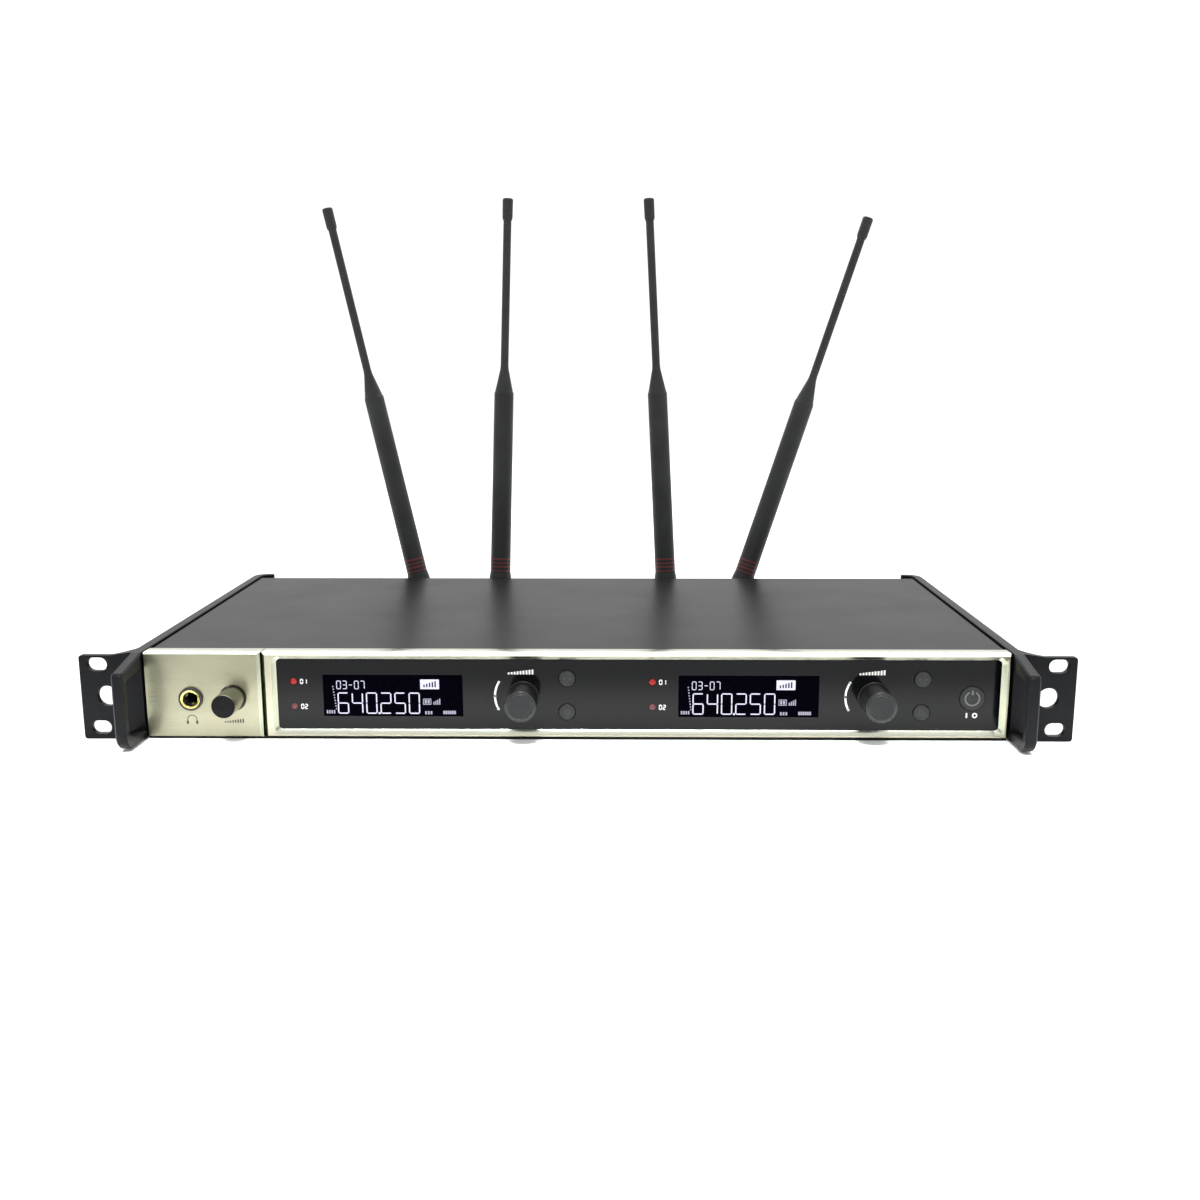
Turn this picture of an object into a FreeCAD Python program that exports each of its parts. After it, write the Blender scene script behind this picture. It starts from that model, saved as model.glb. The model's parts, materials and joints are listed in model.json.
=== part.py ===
"""Rack-mount dual wireless microphone receiver, one rack unit high, built from its separate pieces.

Millimetres. +X is the unit's right seen from the front, +Y runs to the rear, +Z is up.
The origin is the centre of the rack-ear slot pattern, on the ears' rear face.
"""
import FreeCAD, Part
import math
import os

Vec = FreeCAD.Vector

# ---------------------------------------------------------------- driving dimensions
# overall
body_w = 432.0            # over both rails
panel_h = 43.6            # ear and case height, one rack unit
case_depth = 202.0        # ear rear face to rear panel outer face

# rack ears (19 inch)
ear_w = 25.3              # each, beyond the rail
ear_t = 3.0
slot_inset = 8.75         # slot centre from the ear's end
slot_pitch_z = 31.75
slot_l = 9.8
slot_w = 6.8
ear_corner_r = 1.5
ear_drop = 1.4            # ear's top edge below the rail's top
ear_slope_start = 1.0     # from the rail to where the top starts to slope down
mid_hole_inset = 12.9     # extra round hole between the slots, from the ear's end
mid_hole_r = 5.1

# side cheeks: ear, rail and rear bumper in one profile
rail_t = 5.0
flare_r = 9.0             # fillet from rail into ear
bumper_reach = 11.5       # behind the rear panel
bumper_r = 9.0
bumper_len = 12.0         # inward, from the rail's outer face
bumper_tip_r = 2.25
cheek_edge_r = 0.6

# handle loop on each cheek
handle_w = 5.5
handle_reach = 25.0       # in front of the ear
handle_bar = 5.0
handle_top_drop = 4.6     # the top slopes down to the front by this much
handle_top_r = 2.5
handle_foot_r = 8.0
handle_foot_up = 1.0      # handle's underside above the case's
grip_top = 8.1            # metal above the finger gap, at the ear
grip_foot = 4.2           # metal below the finger gap, at the ear
grip_top_drop = 1.2
grip_foot_rise = 2.6
grip_r = 2.5
grip_bevel = 0.8

# sheet metal case
sheet = 1.0
rear_sheet = 1.5
rear_panel_gap = 1.2      # each end, to the rail
cover_step = 0.8          # cover top below the rail tops
wall_top_gap = 3.3        # tray side walls end this far below the rail tops
slip = 0.1                # between pieces that are fitted together by hand
cover_side_gap = 0.5      # cover flange to tray wall
cover_flange_h = 12.0
lip_h = 11.0
board_tab_w = 12.0
board_tab_h = 13.0
board_tab_inset = 8.0     # outer tabs, from the front panels' ends
board_tab_from_edge = (0.5, 73.5)
board_tab_middle = 165.5  # from the window's left edge
board_tab_screw = 2.5     # screw below the tab's top

# front panels
front_side_gap = 1.0      # to each rail
front_face_t = 2.6
front_flange_t = 1.5
front_flange_depth = 10.0
front_top_gap = 0.1       # below the rail tops
plate_w = 57.0            # headphone plate, to the joint line
split_gap = 0.3
front_edge_c = 0.7
front_screw_inset = 10.0  # outer screws, from the front panels' ends
plate_screw_gap = 10.0    # second screw, from the joint line
frame_screw_x = (-100.0, -10.0, 85.0)
front_screw_y = 3.0

# display window
window_left = 7.5         # from the joint line
window_right = 4.5        # from the frame's end
window_foot = 4.0
window_head = 3.2
window_r = 2.0
window_t = 2.5
window_recess = 1.4
window_lap = 1.2          # hidden rim behind the frame
frame_bevel = 2.2
frame_bevel_top = 1.76

# displays and lamps
lcd_from_edge = (56.4, 121.5)     # left display from the window's left edge, right from its right
lcd_z = 0.2
lcd_w = 68.0
lcd_h = 21.8
lcd_rim = 3.0
lcd_glass_t = 0.9
lamps_from_edge = (8.0, 168.2)
lamp_z = (7.2, -5.4)
lamp_r = 1.6
lamp_foot_r = 2.1
lamp_foot_gap = 0.3       # behind the window
lamp_proud = 0.55         # dome, in front of the window
lamp_dome_r = 0.88
lamp_crown = 0.15         # dome's middle to its bend
lamp_shoulder = 0.65      # dome's middle to its rim

# front circuit board
front_board_y = 11.0
board_t = 1.6
front_board_inset = 3.0   # each end, from the front panels' ends
front_board_foot = 4.3    # above the case floor
front_board_head = 3.5    # below the cover
board_cutout_gap = 1.0    # round the headphone jack's body

# rotary controls
shaft_r = 3.0
run_gap = 0.06            # shaft in bushing, radial
rotary_back_t = 1.5       # wall behind a shaft's end
encoders_from_edge = (119.9, 60.9)
encoder_z = 0.0
encoder_w = 14.0
encoder_h = 13.0
encoder_depth = 7.0
encoder_bush_r = 4.0
encoder_bush_l = 5.0
encoder_hole_r = 4.6      # in the window
encoder_knob_r = 7.5
encoder_flange_r = 8.0
encoder_knob_out = 19.5   # in front of the window
encoder_rim_r = 5.6
encoder_flange_t = 1.5
encoder_dish = 0.5        # depth of the hollow in the knob's front
volume_inset = 42.9       # from the headphone plate's end
volume_z = -0.8
volume_body = 16.0
volume_depth = 7.0
volume_bush_r = 4.5
volume_bush_l = 3.0
volume_knob_r = 5.85
volume_hole_r = 6.5
volume_knob_out = 16.0    # in front of the front panel
volume_knob_in = 2.0      # behind the front panel's face
knob_gap = 0.3            # knob flange to window
shaft_in_knob = 13.0
knob_bore_gap = 0.02
knob_bore_end = 0.3       # past the shaft's end
knob_taper = 0.15
knob_edge_c = 0.8

# push buttons
buttons_from_edge = (141.3, 37.6)
button_z = {"upper": 9.0, "lower": -7.8}
button_r = 4.0
power_from_edge = 13.4
power_z = -0.5
power_r = 6.0
button_gap = 0.25         # radial, in the window
button_proud = 0.7
button_edge_c = 0.5
button_rim = 0.9          # retaining flange, wider than the cap
button_rim_t = 1.0
button_rim_gap = 0.3
button_travel = 0.8
button_over = 0.1         # left between stem and switch when pressed
stem_r = 1.5
switch_w = 6.0
switch_t = 4.0

# headphone jack and line jack
jack_inset = 22.3         # from the headphone plate's end
jack_z = -1.3
jack_bush_r = 4.75
jack_bore_r = 3.25
jack_bore_l = 22.0
jack_proud = 0.3
jack_body_w = 15.0
jack_body_h = 14.0
jack_body_l = 21.0
jack_nut_r = 5.85
jack_nut_t = 1.4
jack_nut_edge = 0.4
thread_gap = 0.05
panel_hole_gap = 0.2

# antennas: place of each connector and its lean to the right at rest, in degrees
antenna_x = (-107.5, -57.8, 52.8, 97.5)
antenna_z = 0.0
antenna_lean = (-12.1, 2.1, -3.0, 17.7)
pivot_y = 19.5            # hinge pin behind the rear panel
socket_r = 4.5
socket_out = 9.5
socket_in = 10.0
socket_collar_r = 6.6
socket_collar_t = 2.0
socket_nut_r = 6.4
socket_nut_t = 2.0
socket_pin_hole_r = 2.1
socket_pin_hole_l = 6.0
coupling_r = 6.2
coupling_gap = 0.4        # to the collar
coupling_end_gap = 0.2
coupling_end_t = 1.8
fork_gap = 5.2
fork_t = 2.3
fork_r = 5.8
fork_arm_h = 9.28
tongue_gap = 0.15
tongue_r = 5.6
pin_r = 1.5
pin_fit = 0.02            # pin pressed through the fork, radial
pin_head_r = 2.4
pin_head_top_r = 1.68
pin_head_t = 0.7
skirt_start = 7.4
skirt_r = 7.2
skirt_end = 18.0
tube_start = 22.5
tube_r = 6.5
tube_top_r = 6.15
tube_end = 138.0
mast_edge_c = 1.5
whip_start = 155.0
whip_r = 2.5
antenna_l = 258.0
cap_l = 13.4
cap_r = 3.3
cap_end_t = 1.8
cap_fit = 0.02            # on the whip, all round
cap_lead = 1.4            # taper at the cap's open end

# rear connectors
xlr_x = (-25.0, 15.0)
xlr_z = 0.0
xlr_r = 11.8
xlr_bore_r = 9.4
xlr_bore_l = 14.0
xlr_flange_w = 26.0
xlr_flange_h = 31.0
xlr_flange_t = 2.0
xlr_corner_r = 2.0
xlr_depth = 22.0
xlr_pin_r = 1.2
xlr_pin_circle_r = 4.3
xlr_pin_l = 12.0
xlr_screw_dx = 9.5
xlr_screw_dz = 12.0
line_jack_x = -155.0
power_inlet_x = 160.0
power_inlet_r = 5.5
power_flange_r = 7.0
power_flange_t = 2.0
power_depth = 16.0
power_bore_r = 3.2
power_bore_l = 10.0
power_pin_r = 1.0
power_pin_sunk = 0.8      # pin's end below the inlet's face

# fasteners
rear_screw_inset = 16.0   # outer screws, from the rails
rear_screw_x = (-82.0, 76.0)
screw_r = 1.5
screw_head_r = 2.8
screw_head_t = 1.7
screw_head_side = 0.94    # straight side of a pan head
screw_crown_r = 1.96      # flat on top of a pan head
screw_grip = 7.0          # shank length under the head
screw_slot_w = 0.8
screw_slot_t = 0.8
screw_gap = 0.1
cheek_screw_y = (40.0, 105.0)
cheek_screw_rear = 32.0   # last screw, from the rear panel
cheek_screw_r = 2.0
cheek_screw_head_r = 3.9
cheek_screw_head_t = 2.2
cheek_screw_l = 10.0

# main board and what it carries
main_board_side_gap = 21.0
main_board_y0 = 62.0
main_board_rear_gap = 12.0
standoff_h = 6.0
standoff_r = 3.0
standoff_hole_r = 1.6
standoff_inset = 8.0
board_screw_grip = 6.0
module_w = 74.0
module_l = 66.0
module_h = 12.5
module_wall = 0.6
module_corner_r = 2.0
module_x = (-85.0, 79.0)
module_y0 = 112.0
ribbon_w = 40.0
ribbon_t = 0.9
ribbon_x = 25.0
ribbon_top_z = -4.0
ribbon_bend_r = 6.0

# how tools run when a piece is cut or built up
past = 1.0                # a cutting tool runs this far past a face
join = 0.5                # a part of a solid starts this far inside the rest of it

# ---------------------------------------------------------------- worked-out places
base_z = -panel_h / 2
top_z = panel_h / 2
ear_front = -ear_t
ear_top = top_z - ear_drop
handle_base = base_z + handle_foot_up
rail_out = body_w / 2
rail_in = rail_out - rail_t
ear_end = rail_out + ear_w
floor_top = base_z + sheet
front_z0 = floor_top + slip
front_z1 = top_z - front_top_gap
front_x = rail_in - front_side_gap
split_x = plate_w - front_x
face_back = ear_front + front_face_t
flange_back = ear_front + front_flange_depth
window_front = ear_front + window_recess
window_back = window_front + window_t
window_x0 = split_x + window_left
window_x1 = front_x - window_right
window_z0 = front_z0 + window_foot
window_z1 = front_z1 - window_head
cover_top = top_z - cover_step
cover_under = cover_top - sheet
cover_x = rail_in - sheet - cover_side_gap
cover_y0 = flange_back + 2 * slip
rear_in = case_depth - rear_sheet
lip_y1 = rear_in - slip
lip_y0 = lip_y1 - sheet
wall_top = top_z - wall_top_gap
pivot = case_depth + pivot_y
board_back = front_board_y + board_t
board_edge_z0 = floor_top + front_board_foot
board_edge_z1 = cover_under - front_board_head
board_screw_z = floor_top + board_tab_h - board_tab_screw
main_board_z0 = floor_top + standoff_h
main_board_z1 = main_board_z0 + board_t
main_board_y1 = case_depth - main_board_rear_gap
main_board_x = rail_in - main_board_side_gap
rear_screw_low = floor_top + lip_h / 2
rear_screw_high = cover_under - lip_h / 2
jack_x = jack_inset - front_x
volume_x = volume_inset - front_x


def from_edges(distances):
    """Places measured from the window's left edge and from its right edge."""
    return window_x0 + distances[0], window_x1 - distances[1]


lcd_x = from_edges(lcd_from_edge)
encoder_x = from_edges(encoders_from_edge)
lamp_places = [(x, z) for x in from_edges(lamps_from_edge) for z in lamp_z]
button_places = {row + "_button_" + side: (x, z) for row, z in button_z.items()
                 for side, x in zip(("left", "right"), from_edges(buttons_from_edge))}
power_place = (window_x1 - power_from_edge, power_z)
tab_places = ((board_tab_inset - front_x, window_x0 + board_tab_middle)
              + from_edges(board_tab_from_edge) + (front_x - board_tab_inset,))
front_screws = ((front_screw_inset - front_x, split_x - plate_screw_gap) + frame_screw_x
                + (front_x - front_screw_inset,))
rear_screws_x = (rear_screw_inset - rail_in,) + rear_screw_x + (rail_in - rear_screw_inset,)
cheek_screws_y = cheek_screw_y + (case_depth - cheek_screw_rear,)


# ---------------------------------------------------------------- shape helpers
def box(x0, x1, y0, y1, z0, z1):
    return Part.makeBox(x1 - x0, y1 - y0, z1 - z0, Vec(x0, y0, z0))


def span_box(xa, xb, y0, y1, z0, z1):
    """Box whose two X limits may come in either order."""
    return box(min(xa, xb), max(xa, xb), y0, y1, z0, z1)


def rod(x, z, r, ya, yb):
    """Round bar along Y; its ends may come in either order."""
    return Part.makeCylinder(r, abs(yb - ya), Vec(x, min(ya, yb), z), Vec(0, 1, 0))


def pin_across(r, half):
    """Round bar along X through the origin."""
    return Part.makeCylinder(r, 2 * half, Vec(-half, 0, 0), Vec(1, 0, 0))


def drilled(shape, x, z, r, y0, y1):
    """The shape with a round hole along Y through the faces at y0 and y1."""
    return shape.cut(rod(x, z, r, y0 - past, y1 + past))


def fused(first, *others):
    return first.fuse(list(others)).removeSplitter()


def group(shapes):
    return Part.makeCompound(shapes)


def mirrored(shape):
    """The same piece for the other side of the unit."""
    return shape.mirror(Vec(0, 0, 0), Vec(1, 0, 0))


def path_face(points):
    """Face from corner points; a point may carry a third value, its corner radius."""
    count = len(points)
    corners = [Vec(p[0], p[1], 0) for p in points]
    edges = []
    ends = []
    for i, point in enumerate(points):
        here = corners[i]
        before = corners[i - 1]
        after = corners[(i + 1) % count]
        radius = point[2] if len(point) > 2 else 0
        if radius <= 0:
            ends.append((here, here))
            continue
        back = (before - here).normalize()
        ahead = (after - here).normalize()
        half = back.getAngle(ahead) / 2
        reach = radius / math.tan(half)
        start = here + back * reach
        end = here + ahead * reach
        middle = here + (back + ahead).normalize() * (radius / math.sin(half) - radius)
        ends.append((start, end, Part.Arc(start, middle, end).toShape()))
    for i in range(count):
        if len(ends[i]) == 3:
            edges.append(ends[i][2])
        leave = ends[i][1]
        arrive = ends[(i + 1) % count][0]
        if leave.distanceToPoint(arrive) > 1e-6:
            edges.append(Part.makeLine(leave, arrive))
    return Part.Face(Part.Wire(edges))


def plan_prism(points, z0, z1):
    """Prism along Z from an outline in X and Y."""
    face = path_face(points)
    face.translate(Vec(0, 0, z0))
    return face.extrude(Vec(0, 0, z1 - z0))


def side_prism(points, x0, x1):
    """Prism along X from an outline in Y and Z."""
    face = path_face(points)
    face.rotate(Vec(0, 0, 0), Vec(0, 0, 1), 90)
    face.rotate(Vec(0, 0, 0), Vec(0, 1, 0), 90)
    face.translate(Vec(x0, 0, 0))
    return face.extrude(Vec(x1 - x0, 0, 0))


def front_outline(x0, x1, z0, z1, r):
    return [(x0, z0, r), (x1, z0, r), (x1, z1, r), (x0, z1, r)]


def front_wire(points, y):
    face = path_face(points)
    face.rotate(Vec(0, 0, 0), Vec(1, 0, 0), 90)
    face.translate(Vec(0, y, 0))
    return face


def front_prism(points, y0, y1):
    """Prism along Y from an outline in X and Z."""
    return front_wire(points, y0).extrude(Vec(0, y1 - y0, 0))


def turned(profile, x, z):
    """Solid of revolution about a Y axis through (x, z); profile is (radius, y) points."""
    points = [Vec(x + r, y, z) for r, y in profile]
    wire = Part.makePolygon(points + [points[0]])
    return Part.Face(wire).revolve(Vec(x, 0, z), Vec(0, 1, 0), 360)


def turned_up(profile):
    """Solid of revolution about Z; profile is (radius, height) points."""
    points = [Vec(r, 0, h) for r, h in profile]
    wire = Part.makePolygon(points + [points[0]])
    return Part.Face(wire).revolve(Vec(0, 0, 0), Vec(0, 0, 1), 360)


def edges_on_plane(shape, axis, value):
    """Edges that lie wholly on a plane across one axis."""
    found = []
    for edge in shape.Edges:
        bounds = edge.BoundBox
        low = (bounds.XMin, bounds.YMin, bounds.ZMin)[axis]
        high = (bounds.XMax, bounds.YMax, bounds.ZMax)[axis]
        if abs(low - value) < 1e-4 and abs(high - value) < 1e-4:
            found.append(edge)
    return found


# ---------------------------------------------------------------- fasteners
def pan_screw(x, seat_y, z, out=1):
    """Slotted pan-head screw along Y, its head's seat at seat_y, pointing out along +Y or -Y."""
    head = turned([(0, 0), (screw_head_r, 0), (screw_head_r, screw_head_side),
                   (screw_crown_r, screw_head_t), (0, screw_head_t)], 0, 0)
    shank = rod(0, 0, screw_r, -screw_grip, 0)
    slot = box(-screw_head_r, screw_head_r, screw_head_t - screw_slot_t, screw_head_t,
               -screw_slot_w / 2, screw_slot_w / 2)
    screw = fused(head, shank).cut(slot)
    if out < 0:
        screw.rotate(Vec(0, 0, 0), Vec(0, 0, 1), 180)
    screw.translate(Vec(x, seat_y, z))
    return screw


def cone_screw(point, axis, head_r, head_t, shank_r, length):
    """Countersunk screw: its flat head's top at point, its shank along axis."""
    head = Part.makeCone(head_r, shank_r, head_t, point, axis)
    shank = Part.makeCylinder(shank_r, length, point, axis)
    return fused(head, shank)


def cone_hole(point, axis, head_r, head_t, shank_r, length):
    return cone_screw(point, axis, head_r + screw_gap, head_t + screw_gap,
                      shank_r + screw_gap, length)


def front_screw_holes(shape):
    for x in front_screws:
        shape = shape.cut(cone_hole(Vec(x, front_screw_y, base_z), Vec(0, 0, 1),
                                    screw_head_r, sheet, screw_r, screw_grip))
    return shape


def rear_fastener_holes(shape, z):
    for x in rear_screws_x:
        shape = drilled(shape, x, z, screw_r + screw_gap, lip_y0, case_depth)
    return shape


def cheek_screws():
    screws = []
    for side in (1, -1):
        for y in cheek_screws_y:
            screws.append(cone_screw(Vec(side * rail_out, y, 0), Vec(-side, 0, 0), cheek_screw_head_r,
                                     cheek_screw_head_t, cheek_screw_r, cheek_screw_l))
    return group(screws)


def front_panel_screws():
    length = front_z0 + front_flange_t + sheet - base_z
    screws = []
    for x in front_screws:
        screws.append(cone_screw(Vec(x, front_screw_y, base_z), Vec(0, 0, 1), screw_head_r, sheet,
                                 screw_r, length))
    return group(screws)


def rear_screws():
    """Case screws above and below, and two on each output connector's flange."""
    screws = []
    for x in rear_screws_x:
        for z in (rear_screw_low, rear_screw_high):
            screws.append(pan_screw(x, case_depth, z))
    for x in xlr_x:
        for side in (-1, 1):
            screws.append(pan_screw(x + side * xlr_screw_dx, case_depth + xlr_flange_t,
                                    xlr_z + side * xlr_screw_dz))
    return group(screws)


# ---------------------------------------------------------------- side cheeks
def handle_loop():
    """D-shaped handle in front of the right rail, with its finger gap."""
    front = ear_front - handle_reach
    outer = [
        (ear_front, top_z),
        (ear_front, handle_base),
        (front, handle_base, handle_foot_r),
        (front, top_z - handle_top_drop, handle_top_r),
    ]
    loop = side_prism(outer, rail_out - handle_w, rail_out)
    gap_front = front + handle_bar
    gap = [
        (ear_front, top_z - grip_top),
        (ear_front, handle_base + grip_foot),
        (gap_front, handle_base + grip_foot + grip_foot_rise, grip_r),
        (gap_front, top_z - grip_top - grip_top_drop, grip_r),
    ]
    loop = loop.cut(side_prism(gap, rail_out - handle_w - past, rail_out + past))
    rim = [e for e in loop.Edges if is_grip_rim(e)]
    return loop.makeChamfer(grip_bevel, rim)


def is_grip_rim(edge):
    """The finger gap's edges and the front bar's outline, on the loop's two side faces."""
    bounds = edge.BoundBox
    return bounds.XLength < 1e-6 and bounds.YMax < ear_front - grip_bevel / 4


def right_cheek():
    profile = [
        (rail_in, ear_front),
        (ear_end, ear_front),
        (ear_end, 0),
        (rail_out, 0, flare_r),
        (rail_out, case_depth + bumper_reach, bumper_r),
        (rail_out - bumper_len, case_depth + bumper_reach, bumper_tip_r),
        (rail_out - bumper_len, case_depth + bumper_reach - rail_t, bumper_tip_r),
        (rail_in, case_depth + bumper_reach - rail_t, bumper_r - rail_t),
    ]
    cheek = plan_prism(profile, base_z, top_z)
    rims = edges_on_plane(cheek, 2, top_z) + edges_on_plane(cheek, 2, base_z)
    rims = [e for e in rims if e.BoundBox.YMax > flare_r and e.BoundBox.XMax > rail_in + rail_t / 2]
    cheek = cheek.makeFillet(cheek_edge_r, rims)
    cheek = fused(cheek, handle_loop()).cut(above_ear())
    for side in (-1, 1):
        z = side * slot_pitch_z / 2
        x = ear_end - slot_inset
        straight = (slot_l - slot_w) / 2
        slot = fused(box(x - straight, x + straight, ear_front - past, flare_r + past,
                         z - slot_w / 2, z + slot_w / 2),
                     rod(x - straight, z, slot_w / 2, ear_front - past, flare_r + past),
                     rod(x + straight, z, slot_w / 2, ear_front - past, flare_r + past))
        cheek = cheek.cut(slot)
    cheek = drilled(cheek, ear_end - mid_hole_inset, 0, mid_hole_r, ear_front, flare_r)
    for y in cheek_screws_y:
        cheek = cheek.cut(cone_hole(Vec(rail_out, y, 0), Vec(-1, 0, 0), cheek_screw_head_r,
                                    cheek_screw_head_t, cheek_screw_r, cheek_screw_l))
    return round_ear_corners(cheek)


def above_ear():
    """Cutting tool that slopes the top down from the rail to the ear's top edge."""
    start = rail_out + ear_slope_start
    profile = [
        (start, top_z),
        (start + flare_r, ear_top),
        (ear_end + past, ear_top),
        (ear_end + past, top_z + past),
        (start, top_z + past),
    ]
    return front_prism(profile, ear_front - past, flare_r + past)


def round_ear_corners(cheek):
    """Takes the sharp outer corners off the ear."""
    x = ear_end
    for side, z in ((-1, base_z), (1, ear_top)):
        low = min(z, z - side * ear_corner_r)
        block = box(x - ear_corner_r, x, ear_front, 0, low, low + ear_corner_r)
        keep = rod(x - ear_corner_r, z - side * ear_corner_r, ear_corner_r, ear_front - past, past)
        cheek = cheek.cut(block.cut(keep))
    return cheek


# ---------------------------------------------------------------- sheet metal case
def bottom_chassis():
    tray = box(-rail_in, rail_in, cover_y0, lip_y1, base_z, floor_top)
    nose = box(-front_x, front_x, ear_front + sheet, cover_y0, base_z, floor_top)
    parts = [nose]
    for side in (-1, 1):
        parts.append(span_box(side * (rail_in - sheet), side * rail_in, cover_y0, lip_y1, base_z, wall_top))
    parts.append(box(-cover_x, cover_x, lip_y0, lip_y1, base_z, floor_top + lip_h))
    for x in tab_places:
        parts.append(box(x - board_tab_w / 2, x + board_tab_w / 2, board_back, board_back + sheet,
                         base_z, floor_top + board_tab_h))
    tray = fused(tray, *parts)
    tray = front_screw_holes(tray)
    tray = rear_fastener_holes(tray, rear_screw_low)
    for y in cheek_screws_y:
        drill = pin_across(cheek_screw_r + screw_gap, rail_in + past)
        drill.translate(Vec(0, y, 0))
        tray = tray.cut(drill)
    for x in tab_places:
        tray = drilled(tray, x, board_screw_z, screw_r + screw_gap, board_back, board_back + sheet)
    return cut_xlr_bodies(tray)


def cut_xlr_bodies(shape):
    """Clears the lips where the output connectors' bodies pass."""
    half = xlr_flange_w / 2
    for x in xlr_x:
        shape = shape.cut(box(x - half, x + half, lip_y0 - past, rear_in, floor_top, cover_under))
    return shape


def top_cover():
    plate = box(-cover_x, cover_x, cover_y0, case_depth, cover_under, cover_top)
    parts = []
    for side in (-1, 1):
        parts.append(span_box(side * (cover_x - sheet), side * cover_x, cover_y0, lip_y1,
                              cover_under - cover_flange_h, cover_top))
    parts.append(box(-cover_x, cover_x, lip_y0, lip_y1, cover_under - lip_h, cover_top))
    parts.append(box(-cover_x, cover_x, cover_y0, cover_y0 + sheet, cover_under - 2 * sheet, cover_top))
    cover = fused(plate, *parts)
    cover = rear_fastener_holes(cover, rear_screw_high)
    return cut_xlr_bodies(cover)


def rear_panel():
    end = rail_in - rear_panel_gap
    panel = box(-end, end, rear_in, case_depth, base_z, cover_under - slip)
    for z in (rear_screw_low, rear_screw_high):
        panel = rear_fastener_holes(panel, z)
    holes = [(line_jack_x, 0, jack_bush_r + panel_hole_gap),
             (power_inlet_x, 0, power_inlet_r + panel_hole_gap)]
    for x in antenna_x:
        holes.append((x, antenna_z, socket_r + panel_hole_gap))
    for x in xlr_x:
        holes.append((x, xlr_z, xlr_r + panel_hole_gap))
        for side in (-1, 1):
            holes.append((x + side * xlr_screw_dx, xlr_z + side * xlr_screw_dz, screw_r + screw_gap))
    for x, z, r in holes:
        panel = drilled(panel, x, z, r, rear_in, case_depth)
    return panel


# ---------------------------------------------------------------- front panels
def front_shell(x0, x1, closed_x):
    """Face plate with top and bottom flanges, and an end flange at closed_x."""
    face = box(x0, x1, ear_front, face_back, front_z0, front_z1)
    top = box(x0, x1, ear_front, flange_back, front_z1 - front_flange_t, front_z1)
    foot = box(x0, x1, ear_front, flange_back, front_z0, front_z0 + front_flange_t)
    end = span_box(closed_x, closed_x - math.copysign(front_flange_t, closed_x), ear_front, flange_back,
                   front_z0, front_z1)
    shell = fused(face, top, foot, end)
    rim = edges_on_plane(shell, 1, ear_front)
    return shell.makeChamfer(front_edge_c, rim)


def headphone_plate():
    plate = front_shell(-front_x, split_x - split_gap / 2, -front_x)
    plate = drilled(plate, jack_x, jack_z, jack_bush_r + panel_hole_gap, ear_front, face_back)
    plate = drilled(plate, volume_x, volume_z, volume_hole_r, ear_front, face_back)
    return front_screw_holes(plate)


def display_frame():
    frame = front_shell(split_x + split_gap / 2, front_x, front_x)
    opening = front_outline(window_x0, window_x1, window_z0, window_z1, window_r)
    frame = frame.cut(front_prism(opening, ear_front - past, face_back + past))
    mouth = front_outline(window_x0 - frame_bevel, window_x1 + frame_bevel, window_z0 - frame_bevel,
                          window_z1 + frame_bevel_top, window_r + frame_bevel)
    bevel = Part.makeLoft([front_wire(mouth, ear_front).OuterWire,
                           front_wire(opening, window_front).OuterWire], True, True)
    frame = frame.cut(bevel)
    pocket = front_outline(window_x0 - window_lap, window_x1 + window_lap, window_z0 - window_lap,
                           window_z1 + window_lap, window_r)
    frame = frame.cut(front_prism(pocket, window_front, face_back + past))
    return front_screw_holes(frame)


def display_window():
    lap = window_lap - slip
    sheet_outline = front_outline(window_x0 - lap, window_x1 + lap, window_z0 - lap, window_z1 + lap,
                                  window_r)
    pane = front_prism(sheet_outline, window_front, window_back)
    holes = []
    for x in encoder_x:
        holes.append((x, encoder_z, encoder_hole_r))
    for x, z in button_places.values():
        holes.append((x, z, button_r + button_gap))
    holes.append((power_place[0], power_place[1], power_r + button_gap))
    for x, z in lamp_places:
        holes.append((x, z, lamp_r + slip))
    for x, z, r in holes:
        pane = drilled(pane, x, z, r, window_front, window_back)
    return pane


# ---------------------------------------------------------------- displays, lamps and front board
def lcd_module(x):
    """Display glass in its metal frame, standing on the front board."""
    half_w = lcd_w / 2
    half_h = lcd_h / 2
    frame_front = window_back + slip + lcd_glass_t
    glass = box(x - half_w, x + half_w, window_back + slip, frame_front + join, lcd_z - half_h,
                lcd_z + half_h)
    back = box(x - half_w - lcd_rim, x + half_w + lcd_rim, frame_front, front_board_y,
               lcd_z - half_h - lcd_rim, lcd_z + half_h + lcd_rim)
    return fused(back, glass)


def status_lamps():
    """Light pipes: a domed end in the window and a foot on the front board."""
    lamps = []
    for x, z in lamp_places:
        tip = window_front - lamp_proud
        foot = window_back + lamp_foot_gap
        profile = [(0, tip), (lamp_dome_r, tip + lamp_crown), (lamp_r, tip + lamp_shoulder), (lamp_r, foot),
                   (lamp_foot_r, foot), (lamp_foot_r, front_board_y), (0, front_board_y)]
        lamps.append(turned(profile, x, z))
    return group(lamps)


def front_board():
    end = front_x - front_board_inset
    board = box(-end, end, front_board_y, board_back, board_edge_z0, board_edge_z1)
    half_w = jack_body_w / 2 + board_cutout_gap
    half_h = jack_body_h / 2 + board_cutout_gap
    board = board.cut(box(jack_x - half_w, jack_x + half_w, front_board_y - past, board_back + past,
                          jack_z - half_h, jack_z + half_h))
    for x in tab_places:
        board = drilled(board, x, board_screw_z, screw_r + screw_gap, front_board_y, board_back)
    return board


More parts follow.
